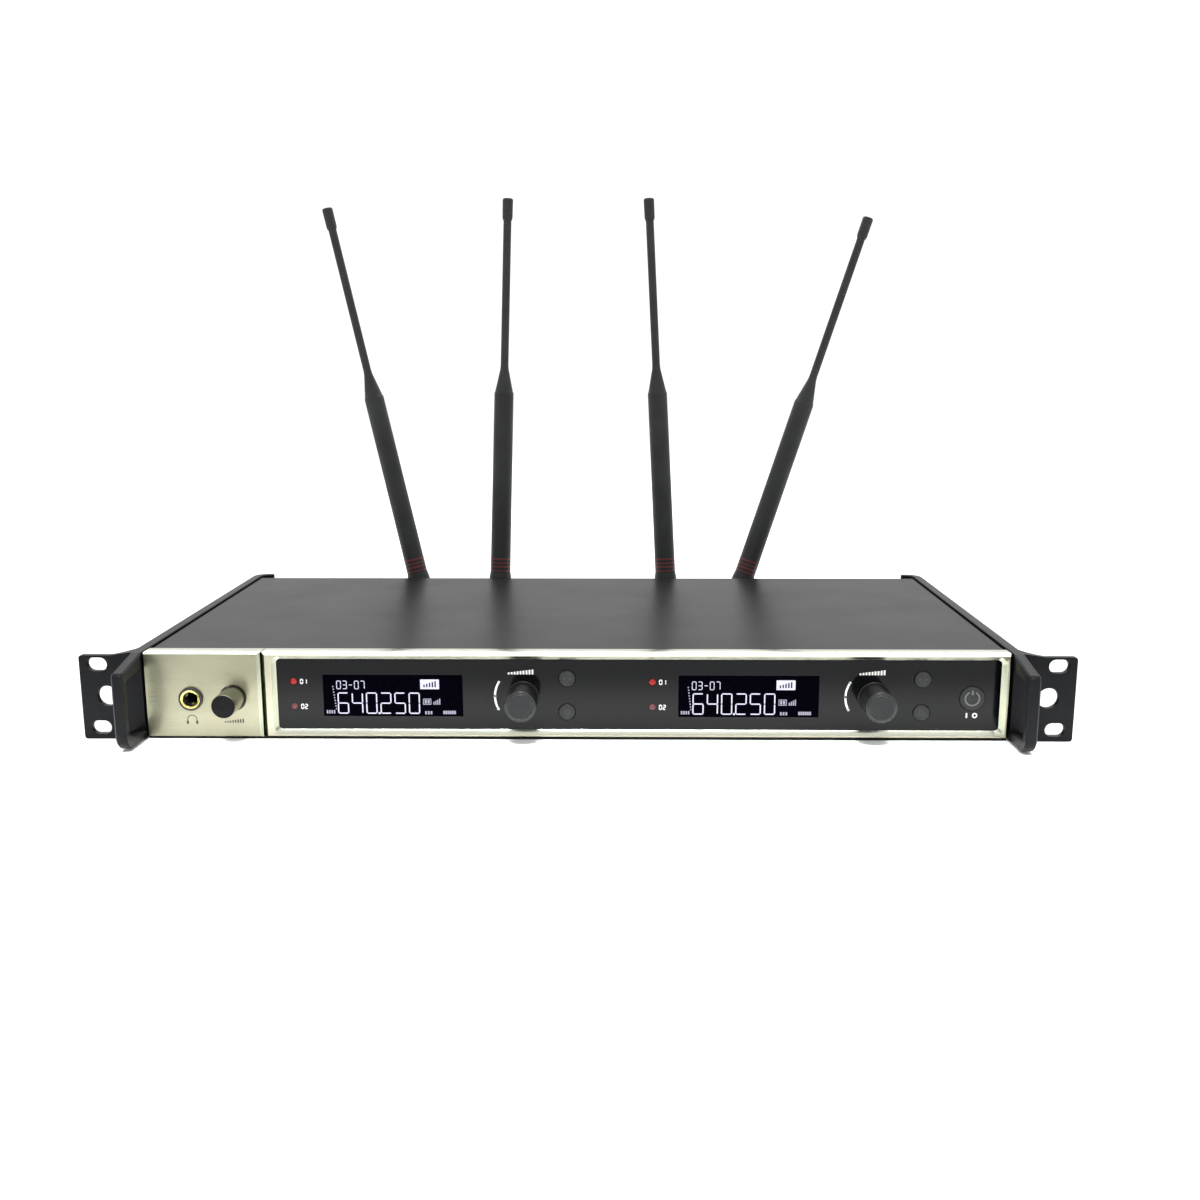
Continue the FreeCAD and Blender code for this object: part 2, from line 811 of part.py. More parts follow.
# ---------------------------------------------------------------- rotary controls
def rotary_body(x, z, width, height, depth, bush_r, bush_l):
    """Encoder or potentiometer body on the front board, with its bored bushing."""
    front = front_board_y - depth
    body = box(x - width / 2, x + width / 2, front, front_board_y, z - height / 2, z + height / 2)
    bush = rod(x, z, bush_r, front - bush_l, front + join)
    bore = rod(x, z, shaft_r + run_gap, front - bush_l - past, front_board_y - rotary_back_t)
    return fused(body, bush).cut(bore)


def rotary_shaft(x, z, front_y):
    return rod(x, z, shaft_r, front_y, front_board_y - rotary_back_t - 2 * run_gap)


def encoder_knob(x):
    base = window_front - knob_gap
    front = window_front - encoder_knob_out
    shaft_end = base - shaft_in_knob
    r = encoder_knob_r
    bore = shaft_r + knob_bore_gap
    flange = base - encoder_flange_t
    edge = knob_edge_c
    dish = front + encoder_dish
    bore_end = shaft_end - knob_bore_end
    profile = [(bore, base), (encoder_flange_r, base), (encoder_flange_r, flange + edge), (r, flange),
               (r - knob_taper, front + edge), (r - knob_taper - edge, front), (encoder_rim_r, front),
               (encoder_rim_r - encoder_dish, dish), (0, dish), (0, bore_end), (bore, bore_end)]
    return turned(profile, x, encoder_z)


def volume_knob():
    base = ear_front + volume_knob_in
    front = ear_front - volume_knob_out
    shaft_end = base - shaft_in_knob
    r = volume_knob_r
    bore = shaft_r + knob_bore_gap
    bore_end = shaft_end - knob_bore_end
    profile = [(bore, base), (r, base), (r - knob_taper, front + knob_edge_c),
               (r - knob_taper - knob_edge_c, front), (0, front), (0, bore_end), (bore, bore_end)]
    return turned(profile, volume_x, volume_z)


# ---------------------------------------------------------------- push buttons
def push_button(x, z, r):
    """Cap in the window, retaining rim behind it, and a stem to the switch."""
    front = window_front - button_proud
    rim0 = window_back + button_rim_gap
    rim1 = rim0 + button_rim_t
    stem_end = front_board_y - switch_t - button_travel - button_over
    profile = [(0, front), (r - button_edge_c, front), (r, front + button_edge_c), (r, rim0),
               (r + button_rim, rim0), (r + button_rim, rim1), (stem_r, rim1), (stem_r, stem_end),
               (0, stem_end)]
    return turned(profile, x, z)


def push_switches():
    half = switch_w / 2
    front = front_board_y - switch_t
    switches = []
    for x, z in list(button_places.values()) + [power_place]:
        switches.append(box(x - half, x + half, front, front_board_y, z - half, z + half))
    return group(switches)


# ---------------------------------------------------------------- jacks and rear connectors
def jack(x, z, seat_y, out):
    """Bored 6.35 mm jack: bushing through the panel, body behind. out is +1 rearward, -1 forward."""
    tip = seat_y + out * (jack_proud + jack_nut_t)
    panel = front_face_t if out < 0 else rear_sheet
    shoulder = seat_y - out * panel
    body_end = shoulder - out * jack_body_l
    bush = rod(x, z, jack_bush_r, tip, shoulder)
    body = box(x - jack_body_w / 2, x + jack_body_w / 2, min(body_end, shoulder), max(body_end, shoulder),
               z - jack_body_h / 2, z + jack_body_h / 2)
    return fused(body, bush).cut(rod(x, z, jack_bore_r, tip - out * jack_bore_l, tip + out * past))


def jack_nut(x, z, seat_y, out):
    end = seat_y + out * jack_nut_t
    nut = rod(x, z, jack_nut_r, seat_y, end)
    nut = nut.makeChamfer(jack_nut_edge, edges_on_plane(nut, 1, end))
    return drilled(nut, x, z, jack_bush_r + thread_gap, min(seat_y, end), max(seat_y, end))


def xlr_output(x):
    """Three-pin male output connector with a square flange: its shell, then its pins."""
    outline = front_outline(x - xlr_flange_w / 2, x + xlr_flange_w / 2, xlr_z - xlr_flange_h / 2,
                            xlr_z + xlr_flange_h / 2, xlr_corner_r)
    mouth = case_depth + xlr_flange_t
    flange = front_prism(outline, case_depth, mouth)
    body = rod(x, xlr_z, xlr_r, case_depth - xlr_depth, case_depth + xlr_flange_t / 2)
    bore_floor = mouth - xlr_bore_l
    shell = fused(flange, body).cut(rod(x, xlr_z, xlr_bore_r, bore_floor, mouth))
    for side in (-1, 1):
        shell = shell.cut(rod(x + side * xlr_screw_dx, xlr_z + side * xlr_screw_dz, screw_r + screw_gap,
                              case_depth, mouth))
    pins = []
    for degrees in (90, 210, 330):
        angle = math.radians(degrees)
        pins.append(rod(x + xlr_pin_circle_r * math.cos(angle), xlr_z + xlr_pin_circle_r * math.sin(angle),
                        xlr_pin_r, bore_floor, bore_floor + xlr_pin_l))
    return [shell] + pins


def power_inlet():
    """Round low-voltage inlet: its shell, then its centre pin."""
    mouth = case_depth + power_flange_t
    flange = rod(power_inlet_x, 0, power_flange_r, case_depth, mouth)
    body = rod(power_inlet_x, 0, power_inlet_r, case_depth - power_depth, case_depth + power_flange_t / 2)
    bore_floor = mouth - power_bore_l
    shell = fused(flange, body).cut(rod(power_inlet_x, 0, power_bore_r, bore_floor, mouth))
    pin = rod(power_inlet_x, 0, power_pin_r, bore_floor, mouth - power_pin_sunk)
    return group([shell, pin])


# ---------------------------------------------------------------- antennas
def antenna_socket(x):
    """Threaded coaxial socket through the rear panel, with a collar outside."""
    out_end = case_depth + socket_out
    barrel = rod(x, antenna_z, socket_r, case_depth - socket_in, out_end)
    collar = rod(x, antenna_z, socket_collar_r, case_depth, case_depth + socket_collar_t)
    hole = rod(x, antenna_z, socket_pin_hole_r, out_end - socket_pin_hole_l, out_end + past)
    return fused(barrel, collar).cut(hole)


def antenna_socket_nut(x):
    corners = []
    for degrees in range(0, 360, 60):
        angle = math.radians(degrees)
        corners.append((x + socket_nut_r * math.cos(angle), antenna_z + socket_nut_r * math.sin(angle)))
    front = rear_in - socket_nut_t
    nut = front_prism(corners, front, rear_in)
    return drilled(nut, x, antenna_z, socket_r + thread_gap, front, rear_in)


def placed(shape, index):
    """Moves an antenna piece modelled upright at the origin to its pivot, leaned as it rests."""
    shape.rotate(Vec(0, 0, 0), Vec(0, 1, 0), antenna_lean[index])
    shape.translate(Vec(antenna_x[index], pivot, antenna_z))
    return shape


def antenna_base():
    """Turning coupling on the socket, with the mast's fork. Its hinge lies along X at the origin."""
    start = -pivot_y + socket_collar_t + coupling_gap
    bore_end = -pivot_y + socket_out + coupling_end_gap
    end = bore_end + coupling_end_t
    sleeve = rod(0, 0, coupling_r, start, end)
    inner = fork_gap / 2
    outer = inner + fork_t
    cheeks = []
    for side in (-1, 1):
        x0 = min(side * inner, side * outer)
        eye = Part.makeCylinder(fork_r, fork_t, Vec(x0, 0, 0), Vec(1, 0, 0))
        arm = box(x0, x0 + fork_t, end - join, 0, -fork_arm_h / 2, fork_arm_h / 2)
        cheeks.append(fused(eye, arm))
    base = fused(sleeve, *cheeks)
    base = base.cut(rod(0, 0, socket_r + run_gap, start - past, bore_end))
    return base.cut(pin_across(pin_r + pin_fit, outer + past))


def antenna_pin():
    """Hinge pin with a low head at each end."""
    half = fork_gap / 2 + fork_t
    heads = []
    for side in (-1, 1):
        heads.append(Part.makeCone(pin_head_r, pin_head_top_r, pin_head_t, Vec(side * half, 0, 0),
                                   Vec(side, 0, 0)))
    return fused(pin_across(pin_r, half), *heads)


def antenna_mast():
    """Tongue, skirt, thick tube and thin whip."""
    shoulder = tube_end + mast_edge_c
    profile = [(0, skirt_start), (skirt_r - mast_edge_c, skirt_start), (skirt_r, skirt_start + mast_edge_c),
               (skirt_r, skirt_end), (tube_r, tube_start), (tube_top_r, tube_end),
               (tube_top_r - mast_edge_c / 3, shoulder), (whip_r, whip_start),
               (whip_r, antenna_l - cap_end_t), (0, antenna_l - cap_end_t)]
    body = turned_up(profile)
    half = fork_gap / 2 - tongue_gap
    eye = pin_across(tongue_r, half)
    web = box(-half, half, -tongue_r, tongue_r, 0, skirt_start + join)
    mast = fused(body, eye, web)
    return mast.cut(pin_across(pin_r + run_gap, half + past))


def antenna_tip():
    """Soft cap on the whip's end."""
    start = antenna_l - cap_l
    bore = whip_r + cap_fit
    inner_end = antenna_l - cap_end_t + cap_fit
    edge = (cap_r - bore) * 0.8
    profile = [(bore, start), (cap_r - edge, start), (cap_r, start + cap_lead), (cap_r, antenna_l - edge),
               (cap_r - edge, antenna_l), (0, antenna_l), (0, inner_end), (bore, inner_end)]
    return turned_up(profile)


# ---------------------------------------------------------------- inside
def standoff_places():
    xs = (standoff_inset - main_board_x, 0, main_board_x - standoff_inset)
    ys = (main_board_y0 + standoff_inset, main_board_y1 - standoff_inset)
    return [(x, y) for x in xs for y in ys]


def main_board():
    board = box(-main_board_x, main_board_x, main_board_y0, main_board_y1, main_board_z0, main_board_z1)
    for x, y in standoff_places():
        board = board.cut(Part.makeCylinder(screw_r + screw_gap, board_t + 2 * past,
                                            Vec(x, y, main_board_z0 - past)))
    return board


def board_standoffs():
    posts = []
    for x, y in standoff_places():
        post = Part.makeCylinder(standoff_r, standoff_h, Vec(x, y, floor_top))
        posts.append(post.cut(Part.makeCylinder(standoff_hole_r, standoff_h, Vec(x, y, floor_top + sheet))))
    return group(posts)


def board_screws():
    screws = []
    for x, y in standoff_places():
        screw = pan_screw(0, 0, 0)
        screw = screw.cut(box(-screw_r, screw_r, -screw_grip, -board_screw_grip, -screw_r, screw_r))
        screw.rotate(Vec(0, 0, 0), Vec(1, 0, 0), 90)
        screw.translate(Vec(x, y, main_board_z1))
        screws.append(screw)
    for x in tab_places:
        screws.append(pan_screw(x, front_board_y, board_screw_z, -1))
    return group(screws)


def receiver_module(x):
    """Radio module on the main board under its shield can, which is open below."""
    can = box(x - module_w / 2, x + module_w / 2, module_y0, module_y0 + module_l, main_board_z1,
              main_board_z1 + module_h)
    upright = [e for e in can.Edges if e.BoundBox.ZLength > module_h / 2]
    can = can.makeFillet(module_corner_r, upright)
    wall = module_wall
    return can.cut(box(x - module_w / 2 + wall, x + module_w / 2 - wall, module_y0 + wall,
                       module_y0 + module_l - wall, main_board_z1 - past, main_board_z1 + module_h - wall))


def ribbon_cable():
    """Flat cable from the back of the front board down to the main board."""
    t = ribbon_t
    y0 = board_back
    y1 = main_board_y0 + 2 * standoff_inset
    r = ribbon_bend_r
    outline = [(y0, ribbon_top_z), (y0, ribbon_top_z - t), (y1 - t, ribbon_top_z - t, r - t),
               (y1 - t, main_board_z1), (y1, main_board_z1), (y1, ribbon_top_z, r)]
    return side_prism(outline, ribbon_x - ribbon_w / 2, ribbon_x + ribbon_w / 2)


# ---------------------------------------------------------------- assembly
def build():
    cheek = right_cheek()
    nodes = {
        "bottom_chassis": bottom_chassis(),
        "top_cover": top_cover(),
        "rear_panel": rear_panel(),
        "side_cheek_right": cheek,
        "side_cheek_left": mirrored(cheek),
        "cheek_screws": cheek_screws(),
        "headphone_plate": headphone_plate(),
        "display_frame": display_frame(),
        "display_window": display_window(),
        "front_panel_screws": front_panel_screws(),
        "lcd_module_left": lcd_module(lcd_x[0]),
        "lcd_module_right": lcd_module(lcd_x[1]),
        "status_lamps": status_lamps(),
        "front_board": front_board(),
        "main_board": main_board(),
        "receiver_module_left": receiver_module(module_x[0]),
        "receiver_module_right": receiver_module(module_x[1]),
        "board_standoffs": board_standoffs(),
        "board_screws": board_screws(),
        "ribbon_cable": ribbon_cable(),
        "headphone_jack": jack(jack_x, jack_z, ear_front, -1),
        "headphone_jack_nut": jack_nut(jack_x, jack_z, ear_front, -1),
        "volume_pot": rotary_body(volume_x, volume_z, volume_body, volume_body, volume_depth,
                                  volume_bush_r, volume_bush_l),
        "volume_shaft": rotary_shaft(volume_x, volume_z, ear_front + volume_knob_in - shaft_in_knob),
        "volume_knob": volume_knob(),
        "power_button": push_button(power_place[0], power_place[1], power_r),
        "push_switches": push_switches(),
        "line_output_jack": jack(line_jack_x, 0, case_depth, 1),
        "line_output_nut": jack_nut(line_jack_x, 0, case_depth, 1),
        "xlr_outputs": group([solid for x in xlr_x for solid in xlr_output(x)]),
        "power_inlet": power_inlet(),
        "antenna_sockets": group([antenna_socket(x) for x in antenna_x]),
        "antenna_socket_nuts": group([antenna_socket_nut(x) for x in antenna_x]),
        "rear_screws": rear_screws(),
    }
    for side, x in zip(("left", "right"), encoder_x):
        nodes["encoder_" + side] = rotary_body(x, encoder_z, encoder_w, encoder_h, encoder_depth,
                                               encoder_bush_r, encoder_bush_l)
        nodes["encoder_shaft_" + side] = rotary_shaft(x, encoder_z,
                                                      window_front - knob_gap - shaft_in_knob)
        nodes["encoder_knob_" + side] = encoder_knob(x)
    for name, (x, z) in button_places.items():
        nodes[name] = push_button(x, z, button_r)
    for index in range(len(antenna_x)):
        number = str(index + 1)
        nodes["antenna_base_" + number] = placed(antenna_base(), index)
        nodes["antenna_pin_" + number] = placed(antenna_pin(), index)
        nodes["antenna_mast_" + number] = placed(antenna_mast(), index)
        nodes["antenna_tip_" + number] = placed(antenna_tip(), index)
    return nodes


def main():
    os.makedirs("parts", exist_ok=True)
    for name, shape in build().items():
        if not shape.isValid():
            print("not valid:", name)
        shape.exportStep("parts/" + name + ".step")
        print(name, len(shape.Solids), round(shape.Volume, 1))


main()
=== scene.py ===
"""Looks of the wireless receiver unit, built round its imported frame. Metres, in the frame's own axes:
+X is the unit's right seen from the front, +Y runs to the rear and +Z is up."""
import json
import math

import bmesh
import bpy
from mathutils import Matrix, Vector


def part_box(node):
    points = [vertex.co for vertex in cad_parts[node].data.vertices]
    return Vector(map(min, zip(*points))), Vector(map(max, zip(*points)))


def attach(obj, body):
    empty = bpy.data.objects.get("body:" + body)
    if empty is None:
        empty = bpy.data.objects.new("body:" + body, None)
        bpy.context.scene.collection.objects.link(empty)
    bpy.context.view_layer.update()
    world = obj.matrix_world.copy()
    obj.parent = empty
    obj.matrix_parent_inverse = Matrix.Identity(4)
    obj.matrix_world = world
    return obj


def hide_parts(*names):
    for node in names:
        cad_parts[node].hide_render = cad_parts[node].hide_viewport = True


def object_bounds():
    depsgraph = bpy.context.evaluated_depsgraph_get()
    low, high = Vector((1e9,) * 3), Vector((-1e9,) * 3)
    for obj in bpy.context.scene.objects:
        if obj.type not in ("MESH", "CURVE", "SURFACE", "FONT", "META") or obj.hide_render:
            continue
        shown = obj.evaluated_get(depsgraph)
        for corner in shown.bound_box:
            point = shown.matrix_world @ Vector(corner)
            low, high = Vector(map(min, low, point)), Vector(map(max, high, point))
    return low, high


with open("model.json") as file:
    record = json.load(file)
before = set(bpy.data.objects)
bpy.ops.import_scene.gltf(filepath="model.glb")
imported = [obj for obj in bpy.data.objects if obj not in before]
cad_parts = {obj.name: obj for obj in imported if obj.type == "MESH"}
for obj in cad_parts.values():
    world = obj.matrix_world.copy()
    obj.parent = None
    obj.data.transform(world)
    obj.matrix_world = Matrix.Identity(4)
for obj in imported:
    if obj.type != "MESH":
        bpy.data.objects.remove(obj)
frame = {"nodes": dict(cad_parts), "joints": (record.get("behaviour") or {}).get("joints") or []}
cad_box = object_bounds()
nodes = frame["nodes"]
joints = {joint["name"]: joint for joint in frame["joints"]}
mm = 0.001
receiver = "receiver"

# ---------------------------------------------------------------- sizes that only the looks need
skin = 0.03 * mm              # thickness of printed marks
display_w = 68.0 * mm
display_h = 20.6 * mm
display_set_back = 0.15 * mm  # display glass behind the window's face
hole_gap = 0.25 * mm          # round each button cap in the window
lamp_gap = 0.1 * mm           # round the lamps, the displays and the window itself
stroke_gap = 0.01 * mm        # between strokes of one printed frame
window_r = 2.0 * mm
window_lap = 1.1 * mm         # hidden rim of the window behind its frame
window_edge = 0.08 * mm       # rounding of the window's edges
encoder_hole_r = 4.6 * mm     # in the window, behind each large knob
face_t = 2.6 * mm             # front panels' face plate
flange_t = 1.5 * mm
panel_edge = 0.1 * mm         # rounding of the front panels' edges
jack_hole_r = 4.85 * mm       # in the headphone plate
knob_hole_r = 6.5 * mm
cap_rim = 0.9 * mm            # a button's retaining rim beyond its cap
lamp_foot = 2.1 * mm          # radius of a lamp's hidden foot
lamp_r = 1.6 * mm
output_inset = 13.0 * mm      # edge of the pair of outputs to the nearer output's axis
output_pin_ring = 4.3 * mm    # radius on which an output's three pins stand
output_pin_r = 1.25 * mm      # faces this near to a pin's axis are plated
inlet_pin_r = 1.1 * mm
weld_gap = 0.001 * mm         # joins the frame nodes' split corners before their edges are rounded
on_axis = 1e-7                # a radius below this counts as none
smooth_limit = 35.0           # degrees between faces from which shading breaks
bevel_limit = 38.0            # degrees between faces from which an edge is rounded


# ---------------------------------------------------------------- places from the frame
def low(node):
    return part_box(node)[0]


def high(node):
    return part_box(node)[1]


def middle(node):
    lowest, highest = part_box(node)
    return (lowest + highest) / 2


# ---------------------------------------------------------------- shape helpers
def rounded(points, steps=5):
    """Closed outline of (a, b, radius) corners, each with a radius turned into an arc."""
    outline = []
    for i, point in enumerate(points):
        here = Vector(point[:2])
        radius = point[2] if len(point) > 2 else 0.0
        if radius <= 0:
            outline.append(here)
            continue
        back = (Vector(points[i - 1][:2]) - here).normalized()
        ahead = (Vector(points[(i + 1) % len(points)][:2]) - here).normalized()
        half = back.angle(ahead) / 2
        centre = here + (back + ahead).normalized() * (radius / math.sin(half))
        start = here + back * (radius / math.tan(half)) - centre
        end = here + ahead * (radius / math.tan(half)) - centre
        turn = math.atan2(start.cross(end), start.dot(end))
        for k in range(steps + 1):
            outline.append(centre + Matrix.Rotation(turn * k / steps, 2) @ start)
    return outline


def rectangle(x0, x1, z0, z1, radius=0.0, steps=5):
    return rounded([(x0, z0, radius), (x1, z0, radius), (x1, z1, radius), (x0, z1, radius)], steps)


def circle(x, z, radius, steps=48):
    points = []
    for k in range(steps):
        angle = 2 * math.pi * k / steps
        points.append(Vector((x + radius * math.cos(angle), z + radius * math.sin(angle))))
    return points


def arc(x, z, radius, start, end, steps):
    """Points along an arc about (x, z) between two angles in degrees."""
    points = []
    for k in range(steps + 1):
        angle = math.radians(start + (end - start) * k / steps)
        points.append(Vector((x, z)) + Vector((math.cos(angle), math.sin(angle))) * radius)
    return points


def arc_band(x, z, radius, width, start, end, steps=24):
    """Outline of a curved stroke about (x, z) between two angles in degrees."""
    outer = arc(x, z, radius + width / 2, start, end, steps)
    inner = arc(x, z, radius - width / 2, start, end, steps)
    return outer + inner[::-1]


def to_object(name, bm, materials):
    """Turns a bmesh into an object with soft shading that breaks at sharp edges."""
    bmesh.ops.recalc_face_normals(bm, faces=bm.faces)
    mesh = bpy.data.meshes.new(name)
    bm.to_mesh(mesh)
    bm.free()
    piece = bpy.data.objects.new(name, mesh)
    bpy.context.scene.collection.objects.link(piece)
    for material in materials:
        mesh.materials.append(material)
    mesh.shade_smooth()
    mesh.set_sharp_from_angle(angle=math.radians(smooth_limit))
    return piece


def add_slab(bm, outline, y0, y1, holes=()):
    """Adds a solid slab along Y with an outline of (x, z) points and holes through it."""
    edges = []
    for loop in [outline] + list(holes):
        corners = [bm.verts.new((p[0], y0, p[1])) for p in loop]
        for k, corner in enumerate(corners):
            edges.append(bm.edges.new((corner, corners[(k + 1) % len(corners)])))
    filled = bmesh.ops.triangle_fill(bm, use_beauty=True, use_dissolve=False, edges=edges,
                                     normal=(0, -1, 0))
    front = [f for f in filled["geom"] if isinstance(f, bmesh.types.BMFace)]
    grown = bmesh.ops.extrude_face_region(bm, geom=front, use_keep_orig=True)
    moved = [v for v in grown["geom"] if isinstance(v, bmesh.types.BMVert)]
    bmesh.ops.translate(bm, verts=moved, vec=(0, y1 - y0, 0))


def slab(name, outline, y0, y1, materials, holes=(), edge=0.0):
    bm = bmesh.new()
    add_slab(bm, outline, y0, y1, holes)
    piece = to_object(name, bm, materials)
    if edge > 0:
        soften(piece, edge)
    return piece


def relief(name, rings, holes, materials):
    """Closed shell from outlines stacked along Y, each (outline, y, zone) from front to back, with
    holes stacked the same way. Every outline of a stack has the same number of points, and zone is
    the material of the band that follows. Upright stretches of zone 1 become zone 2."""
    bm = bmesh.new()
    front = []
    back = []
    for stack in [rings] + holes:
        loops = [[bm.verts.new((p[0], level[1], p[1])) for p in level[0]] for level in stack]
        count = len(loops[0])
        for level, first, second in zip(stack, loops, loops[1:]):
            for k in range(count):
                m = (k + 1) % count
                band = bm.faces.new([first[k], first[m], second[m], second[k]])
                band.material_index = level[2]
        for ends, loop in ((front, loops[0]), (back, loops[-1])):
            for k in range(count):
                ends.append(bm.edges.get((loop[k], loop[(k + 1) % count])))
    for ends in (front, back):
        bmesh.ops.triangle_fill(bm, use_beauty=True, use_dissolve=False, edges=ends, normal=(0, -1, 0))
    bm.normal_update()
    # painted shade: upright bevels take zone 2, the darker shaded copy of the edge material, while the
    # others keep the lit copy of zone 1
    for face in bm.faces:
        if face.material_index == 1 and abs(face.normal.x) > abs(face.normal.z):
            face.material_index = 2
    return to_object(name, bm, materials)


def soften(piece, width):
    """Rounds an object's sharp edges by a bevel of that width."""
    bevel = piece.modifiers.new("soft_edges", "BEVEL")
    bevel.width = width
    bevel.segments = 2
    bevel.limit_method = "ANGLE"
    bevel.angle_limit = math.radians(bevel_limit)
    bevel.harden_normals = False
    bevel.use_clamp_overlap = True


def marks(name, shapes, y_face, material, body=receiver, thickness=skin):
    """Printed marks as one piece: thin slabs that stand on the face at y_face."""
    bm = bmesh.new()
    for outline in shapes:
        add_slab(bm, outline, y_face - thickness, y_face)
    piece = to_object(name, bm, [material])
    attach(piece, body)
    return piece


def turned(name, profile, materials, steps=64, flutes=0):
    """Solid of revolution about local Z. A profile point is (radius, height, zone, flute depth);
    the last two may be left out. Zone is the material of the face that follows the point."""
    bm = bmesh.new()
    rings = []
    for point in profile:
        radius, height = point[:2]
        depth = point[3] if len(point) > 3 else 0.0
        if radius < on_axis:
            rings.append([bm.verts.new((0, 0, height))])
            continue
        ring = []
        for k in range(steps):
            angle = 2 * math.pi * k / steps
            here = radius - depth * (0.5 + 0.5 * math.cos(flutes * angle))
            ring.append(bm.verts.new((here * math.cos(angle), here * math.sin(angle), height)))
        rings.append(ring)
    for i, ring in enumerate(rings):
        after = rings[(i + 1) % len(rings)]
        zone = profile[i][2] if len(profile[i]) > 2 else 0
        if len(ring) == 1 and len(after) == 1:
            continue
        for k in range(steps):
            m = (k + 1) % steps
            corners = [ring[k % len(ring)], ring[m % len(ring)],
                       after[m % len(after)], after[k % len(after)]]
            unique = []
            for corner in corners:
                if corner not in unique:
                    unique.append(corner)
            face = bm.faces.new(unique)
            face.material_index = zone
    return to_object(name, bm, materials)


facing_front = Matrix.Rotation(math.radians(90), 4, "X")    # local Z becomes -Y
facing_rear = Matrix.Rotation(math.radians(-90), 4, "X")    # local Z becomes +Y


def place(piece, matrix):
    piece.data.transform(matrix)
    if matrix.determinant() < 0:
        piece.data.flip_normals()


def put(piece, body, replaced=()):
    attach(piece, body)
    if replaced:
        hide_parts(*replaced)


# ---------------------------------------------------------------- materials
class Finish:
    """A Principled material, with short calls for the nodes that vary it."""

    def __init__(self, name, colour, roughness, metallic=0.0, **sockets):
        self.material = bpy.data.materials.new(name)
        self.material.use_nodes = True
        tree = self.material.node_tree
        self.nodes = tree.nodes
        self.links = tree.links
        self.shader = self.nodes["Principled BSDF"]
        self.shader.inputs["Base Color"].default_value = (*colour, 1)
        self.shader.inputs["Roughness"].default_value = roughness
        self.shader.inputs["Metallic"].default_value = metallic
        for socket, value in sockets.items():
            self.shader.inputs[socket.replace("_", " ")].default_value = value
        self.colour = colour
        self.place = self.nodes.new("ShaderNodeTexCoord").outputs["Object"]

    def noise(self, scale, detail=3.0, stretch=(1, 1, 1), seed=0.0):
        mapping = self.nodes.new("ShaderNodeMapping")
        mapping.inputs["Scale"].default_value = stretch
        mapping.inputs["Location"].default_value = (seed, seed, seed)
        texture = self.nodes.new("ShaderNodeTexNoise")
        texture.inputs["Scale"].default_value = scale
        texture.inputs["Detail"].default_value = detail
        self.links.new(self.place, mapping.inputs["Vector"])
        self.links.new(mapping.outputs["Vector"], texture.inputs["Vector"])
        return texture.outputs["Fac"]

    def spread(self, source, low_end, high_end, at=(0.3, 0.7)):
        """Maps a texture's middle range onto low_end..high_end."""
        node = self.nodes.new("ShaderNodeMapRange")
        node.inputs["From Min"].default_value = at[0]
        node.inputs["From Max"].default_value = at[1]
        node.inputs["To Min"].default_value = low_end
        node.inputs["To Max"].default_value = high_end
        self.links.new(source, node.inputs["Value"])
        return node.outputs["Result"]

    def mix(self, source, first, second):
        """Colour between two by a 0..1 source; a colour is three numbers or another output."""
        node = self.nodes.new("ShaderNodeMix")
        node.data_type = "RGBA"
        self.links.new(source, node.inputs["Factor"])
        for socket, value in ((6, first), (7, second)):
            if isinstance(value, tuple):
                node.inputs[socket].default_value = (*value, 1)
            else:
                self.links.new(value, node.inputs[socket])
        return node.outputs[2]

    def tint(self, source, change):
        """Varies the base colour by plus or minus a share of itself."""
        dark = tuple(c * (1 - change) for c in self.colour)
        light = tuple(min(1.0, c * (1 + change)) for c in self.colour)
        self.links.new(self.mix(self.spread(source, 0, 1), dark, light), self.shader.inputs["Base Color"])

    def rough(self, source, low_end, high_end):
        self.links.new(self.spread(source, low_end, high_end), self.shader.inputs["Roughness"])

    def bump(self, source, strength, distance):
        node = self.nodes.new("ShaderNodeBump")
        node.inputs["Strength"].default_value = strength
        node.inputs["Distance"].default_value = distance
        self.links.new(source, node.inputs["Height"])
        self.links.new(node.outputs["Normal"], self.shader.inputs["Normal"])


def anodised_black():
    f = Finish("anodised_black", (0.0050, 0.0056, 0.0066), 0.34, 0.0, Specular_IOR_Level=0.10)
    f.tint(f.noise(40, 3), 0.08)
    f.rough(f.noise(90, 4, seed=2), 0.33, 0.38)
    f.bump(f.noise(2600, 2), 0.12, 0.00004)
    return f.material


def powder_black():
    """Fine-textured paint on the sheet-metal case."""
    f = Finish("powder_black", (0.0095, 0.0102, 0.0103), 0.36, 0.0, Specular_IOR_Level=0.10)
    f.tint(f.noise(22, 3), 0.07)
    f.rough(f.noise(30, 4, seed=1), 0.34, 0.375)
    f.bump(f.noise(3000, 2), 0.18, 0.00005)
    return f.material


def brushed_champagne(name, dark, light):
    """Champagne anodised aluminium, brushed along X, between two colours."""
    f = Finish(name, light, 0.28, 1.0)
    grain = f.noise(1.0, 3, stretch=(60, 900, 4200))
    f.links.new(f.mix(f.spread(f.noise(30, 4, stretch=(1, 1, 2)), 0, 1), dark, light),
                f.shader.inputs["Base Color"])
    f.rough(grain, 0.27, 0.37)
    f.bump(grain, 0.05, 0.00003)
    return f.material


def cut_champagne(name, colour):
    """Machined edge of the champagne panels. It is made in a lit and a shaded copy: painted highlight on
    bevels that face up or down, painted shade on upright bevels.
    """
    f = Finish(name, colour, 0.2, 1.0)
    f.tint(f.noise(60, 3), 0.04)
    f.rough(f.noise(500, 3), 0.16, 0.26)
    return f.material


def window_acrylic():
    f = Finish("window_acrylic", (0.0012, 0.0017, 0.0022), 0.05, 0.0, Specular_IOR_Level=0.21)
    f.tint(f.noise(18, 2), 0.2)
    f.rough(f.noise(50, 3, seed=3), 0.05, 0.10)
    return f.material


